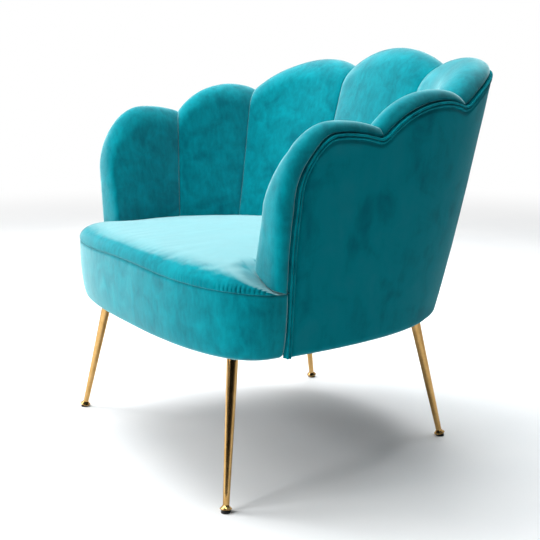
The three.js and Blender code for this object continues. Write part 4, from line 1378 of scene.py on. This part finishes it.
@dataclass
class Underside:
    """Staples that hold the dust cover under the frame."""

    height: float = 281.2
    inset: float = 28
    spacing: float = 38
    crown: tuple[float, float, float] = (11.0, 1.1, 0.9)

    def build(self) -> Piece:
        """Builds the row of staples round the dust cover's edge."""
        bm = bmesh.new()
        angle, side = 0.0, self.inset
        while angle < 180.0:
            radius = TUB.outer(angle, TUB.body_bottom, side)
            for way in ((1, -1) if angle else (1,)):
                spot = TUB.point(way * angle, radius, self.height)
                ahead = TUB.point(way * (angle + 1), TUB.outer(angle + 1, TUB.body_bottom, side), self.height)
                turn = math.atan2(ahead.y - spot.y, ahead.x - spot.x) + 0.12 * ripple(spot, 20, 2.0)
                matrix = Matrix.Translation(spot) @ Matrix.Rotation(turn, 4, "Z")
                made = bmesh.ops.create_cube(bm, size=MM, matrix=matrix @ Matrix.Diagonal((*self.crown, 1.0)))
                edges = {edge for vert in made["verts"] for edge in vert.link_edges}
                bmesh.ops.bevel(bm, geom=list(edges), offset=0.25 * MM, segments=2, profile=0.5,
                                affect="EDGES", material=-1)
            angle += math.degrees(self.spacing / radius)
        return finished("dust_cover_staples", bm, Finish.STEEL, BODY, (), 40)


@dataclass
class Studio:
    """Pale floor, soft light from the upper left, and the photograph's camera."""

    focal: float = 1000.0 / 540.0 * 36.0
    yaw: float = 58.2227
    pitch: float = 11.4494
    eye: tuple[float, float, float] = (1.7819, -1.116, 0.7732)
    floor_size: float = 16.0
    room_light: float = 0.35
    walls: tuple[tuple[float, str], ...] = (
        (0.1, "#ffffff"), (0.42, "#c4c9cc"), (0.6, "#55595c"), (0.95, "#151616"))
    lamps: tuple[tuple[str, tuple[float, float, float], float, float, str], ...] = (
        ("key", (-2.0, -2.3, 2.4), 1.5, 55.0, "#fffdfa"),
        ("front", (0.0, -3.3, 1.6), 1.6, 84.0, "#ffffff"),
        ("top", (-0.2, 0.3, 3.2), 2.0, 98.0, "#ffffff"),
        ("left", (-1.6, -0.9, 3.1), 1.5, 68.0, "#ffffff"),
        ("back", (-1.3, 0.8, 2.6), 1.5, 26.0, "#ffffff"),
    )

    def camera(self) -> None:
        """Sets the camera where the photograph was taken."""
        data = bpy.data.cameras.new("photo_camera")
        data.lens, data.sensor_width, data.sensor_fit = self.focal, 36.0, "HORIZONTAL"
        camera = bpy.data.objects.new("photo_camera", data)
        camera.location = self.eye
        camera.rotation_euler = (math.radians(90 - self.pitch), 0, math.radians(self.yaw))
        bpy.context.scene.collection.objects.link(camera)
        bpy.context.scene.camera = camera

    def lamp(self, name: str, spot: Sequence[float], size: float, power: float, colour: str) -> None:
        """Adds a soft square lamp that faces the chair."""
        data = bpy.data.lights.new(name, "AREA")
        data.size, data.energy, data.color = size, power, linear(colour)[:3]
        lamp = bpy.data.objects.new(name, data)
        lamp.location = spot
        aim = Vector((0, 0, 0.45)) - Vector(spot)
        lamp.rotation_euler = aim.to_track_quat("-Z", "Y").to_euler()
        bpy.context.scene.collection.objects.link(lamp)

    def world(self) -> None:
        """Gives a white background to the camera, the walls at full strength to reflections, and a dim fill
        of the walls otherwise.
        """
        world = bpy.data.worlds.new("studio")
        bpy.context.scene.world = world
        world.use_nodes = True
        tree = world.node_tree
        tree.nodes.clear()
        path = add_node(tree, "ShaderNodeLightPath", {}, {}).outputs
        seen = maths(tree, "MAXIMUM", path["Is Camera Ray"], path["Is Transmission Ray"])
        way = add_node(tree, "ShaderNodeTexCoord", {}, {}).outputs["Generated"]
        turn = math.radians(self.yaw)
        towards = add_node(tree, "ShaderNodeVectorMath", {"operation": "DOT_PRODUCT"}, {
            0: way, 1: (math.sin(turn), -math.cos(turn), 0.0)}).outputs["Value"]
        share = add_node(tree, "ShaderNodeMapRange", {}, {"Value": towards, "From Min": -1.0}).outputs[0]
        strength = maths(tree, "MULTIPLY_ADD", path["Is Glossy Ray"], 1 - self.room_light, self.room_light)
        lit = add_node(tree, "ShaderNodeBackground", {}, {
            "Color": ramp(tree, share, self.walls), "Strength": strength}).outputs[0]
        white = add_node(tree, "ShaderNodeBackground", {}, {"Color": WHITE, "Strength": 1.0}).outputs[0]
        last = add_node(tree, "ShaderNodeMixShader", {}, {0: seen, 1: lit, 2: white}).outputs[0]
        add_node(tree, "ShaderNodeOutputWorld", {}, {"Surface": last})

    def floor(self) -> None:
        """Adds the pale floor, which fades to white away from the chair."""
        bm = bmesh.new()
        bmesh.ops.create_grid(bm, x_segments=8, y_segments=8, size=self.floor_size / 2)
        mesh = bpy.data.meshes.new("studio_floor")
        bm.to_mesh(mesh)
        bm.free()
        floor = bpy.data.objects.new("studio_floor", mesh)
        bpy.context.scene.collection.objects.link(floor)
        material, tree, surface = new_material("studio_paper")
        place = place_of(tree)
        far = add_node(tree, "ShaderNodeVectorMath", {"operation": "LENGTH"}, {0: place}).outputs["Value"]
        fade = add_node(tree, "ShaderNodeMapRange", {"interpolation_type": "SMOOTHSTEP"}, {
            "Value": far, "From Min": 1.7, "From Max": 4.6}).outputs[0]
        path = add_node(tree, "ShaderNodeLightPath", {}, {}).outputs
        glossy = maths(tree, "MAXIMUM", path["Is Camera Ray"], path["Is Glossy Ray"])
        colour = ramp(tree, grain_of(tree, place, 1000 / 3, 2.0), [(0.3, "#eceff1"), (0.7, "#f2f4f5")])
        paper = add_node(tree, "ShaderNodeBsdfPrincipled", {}, {
            "Base Color": colour, "Roughness": 0.7, "Specular IOR Level": 0.2}).outputs[0]
        white = add_node(tree, "ShaderNodeEmission", {}, {"Color": WHITE, "Strength": 1.0}).outputs[0]
        mixed = add_node(tree, "ShaderNodeMixShader", {}, {
            0: maths(tree, "MULTIPLY", glossy, fade), 1: paper, 2: white}).outputs[0]
        tree.links.new(mixed, surface)
        mesh.materials.append(material)

    def build(self) -> None:
        """Sets up camera, lamps, world and floor."""
        self.camera()
        for name, spot, size, power, colour in self.lamps:
            self.lamp(name, spot, size, power, colour)
        self.world()
        self.floor()
        bpy.context.scene.view_settings.view_transform = "Standard"


def dress_frame() -> None:
    """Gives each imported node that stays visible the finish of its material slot."""
    by_slot = {finish.slot: finish for finish in reversed(Finish)}
    for part in frame["record"]["subparts"]:
        node = frame["nodes"][part["node"]]
        finish = by_slot[part["material_slot"]]
        for slot in node.material_slots:
            slot.material = material_of(finish)


def main() -> None:
    """Builds the chair round its frame, with the studio round it."""
    logging.basicConfig(level=logging.INFO, format="%(name)s %(message)s")
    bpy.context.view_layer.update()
    dress_frame()
    pads = BackChannels().build()
    DoublePiping().build()
    OutsideCover().build()
    Apron().build()
    SeatPad().build()
    LegSet().build()
    Underside().build()
    Studio().build()
    for pad in pads:
        refine(pad)


if __name__ == "__main__":
    main()
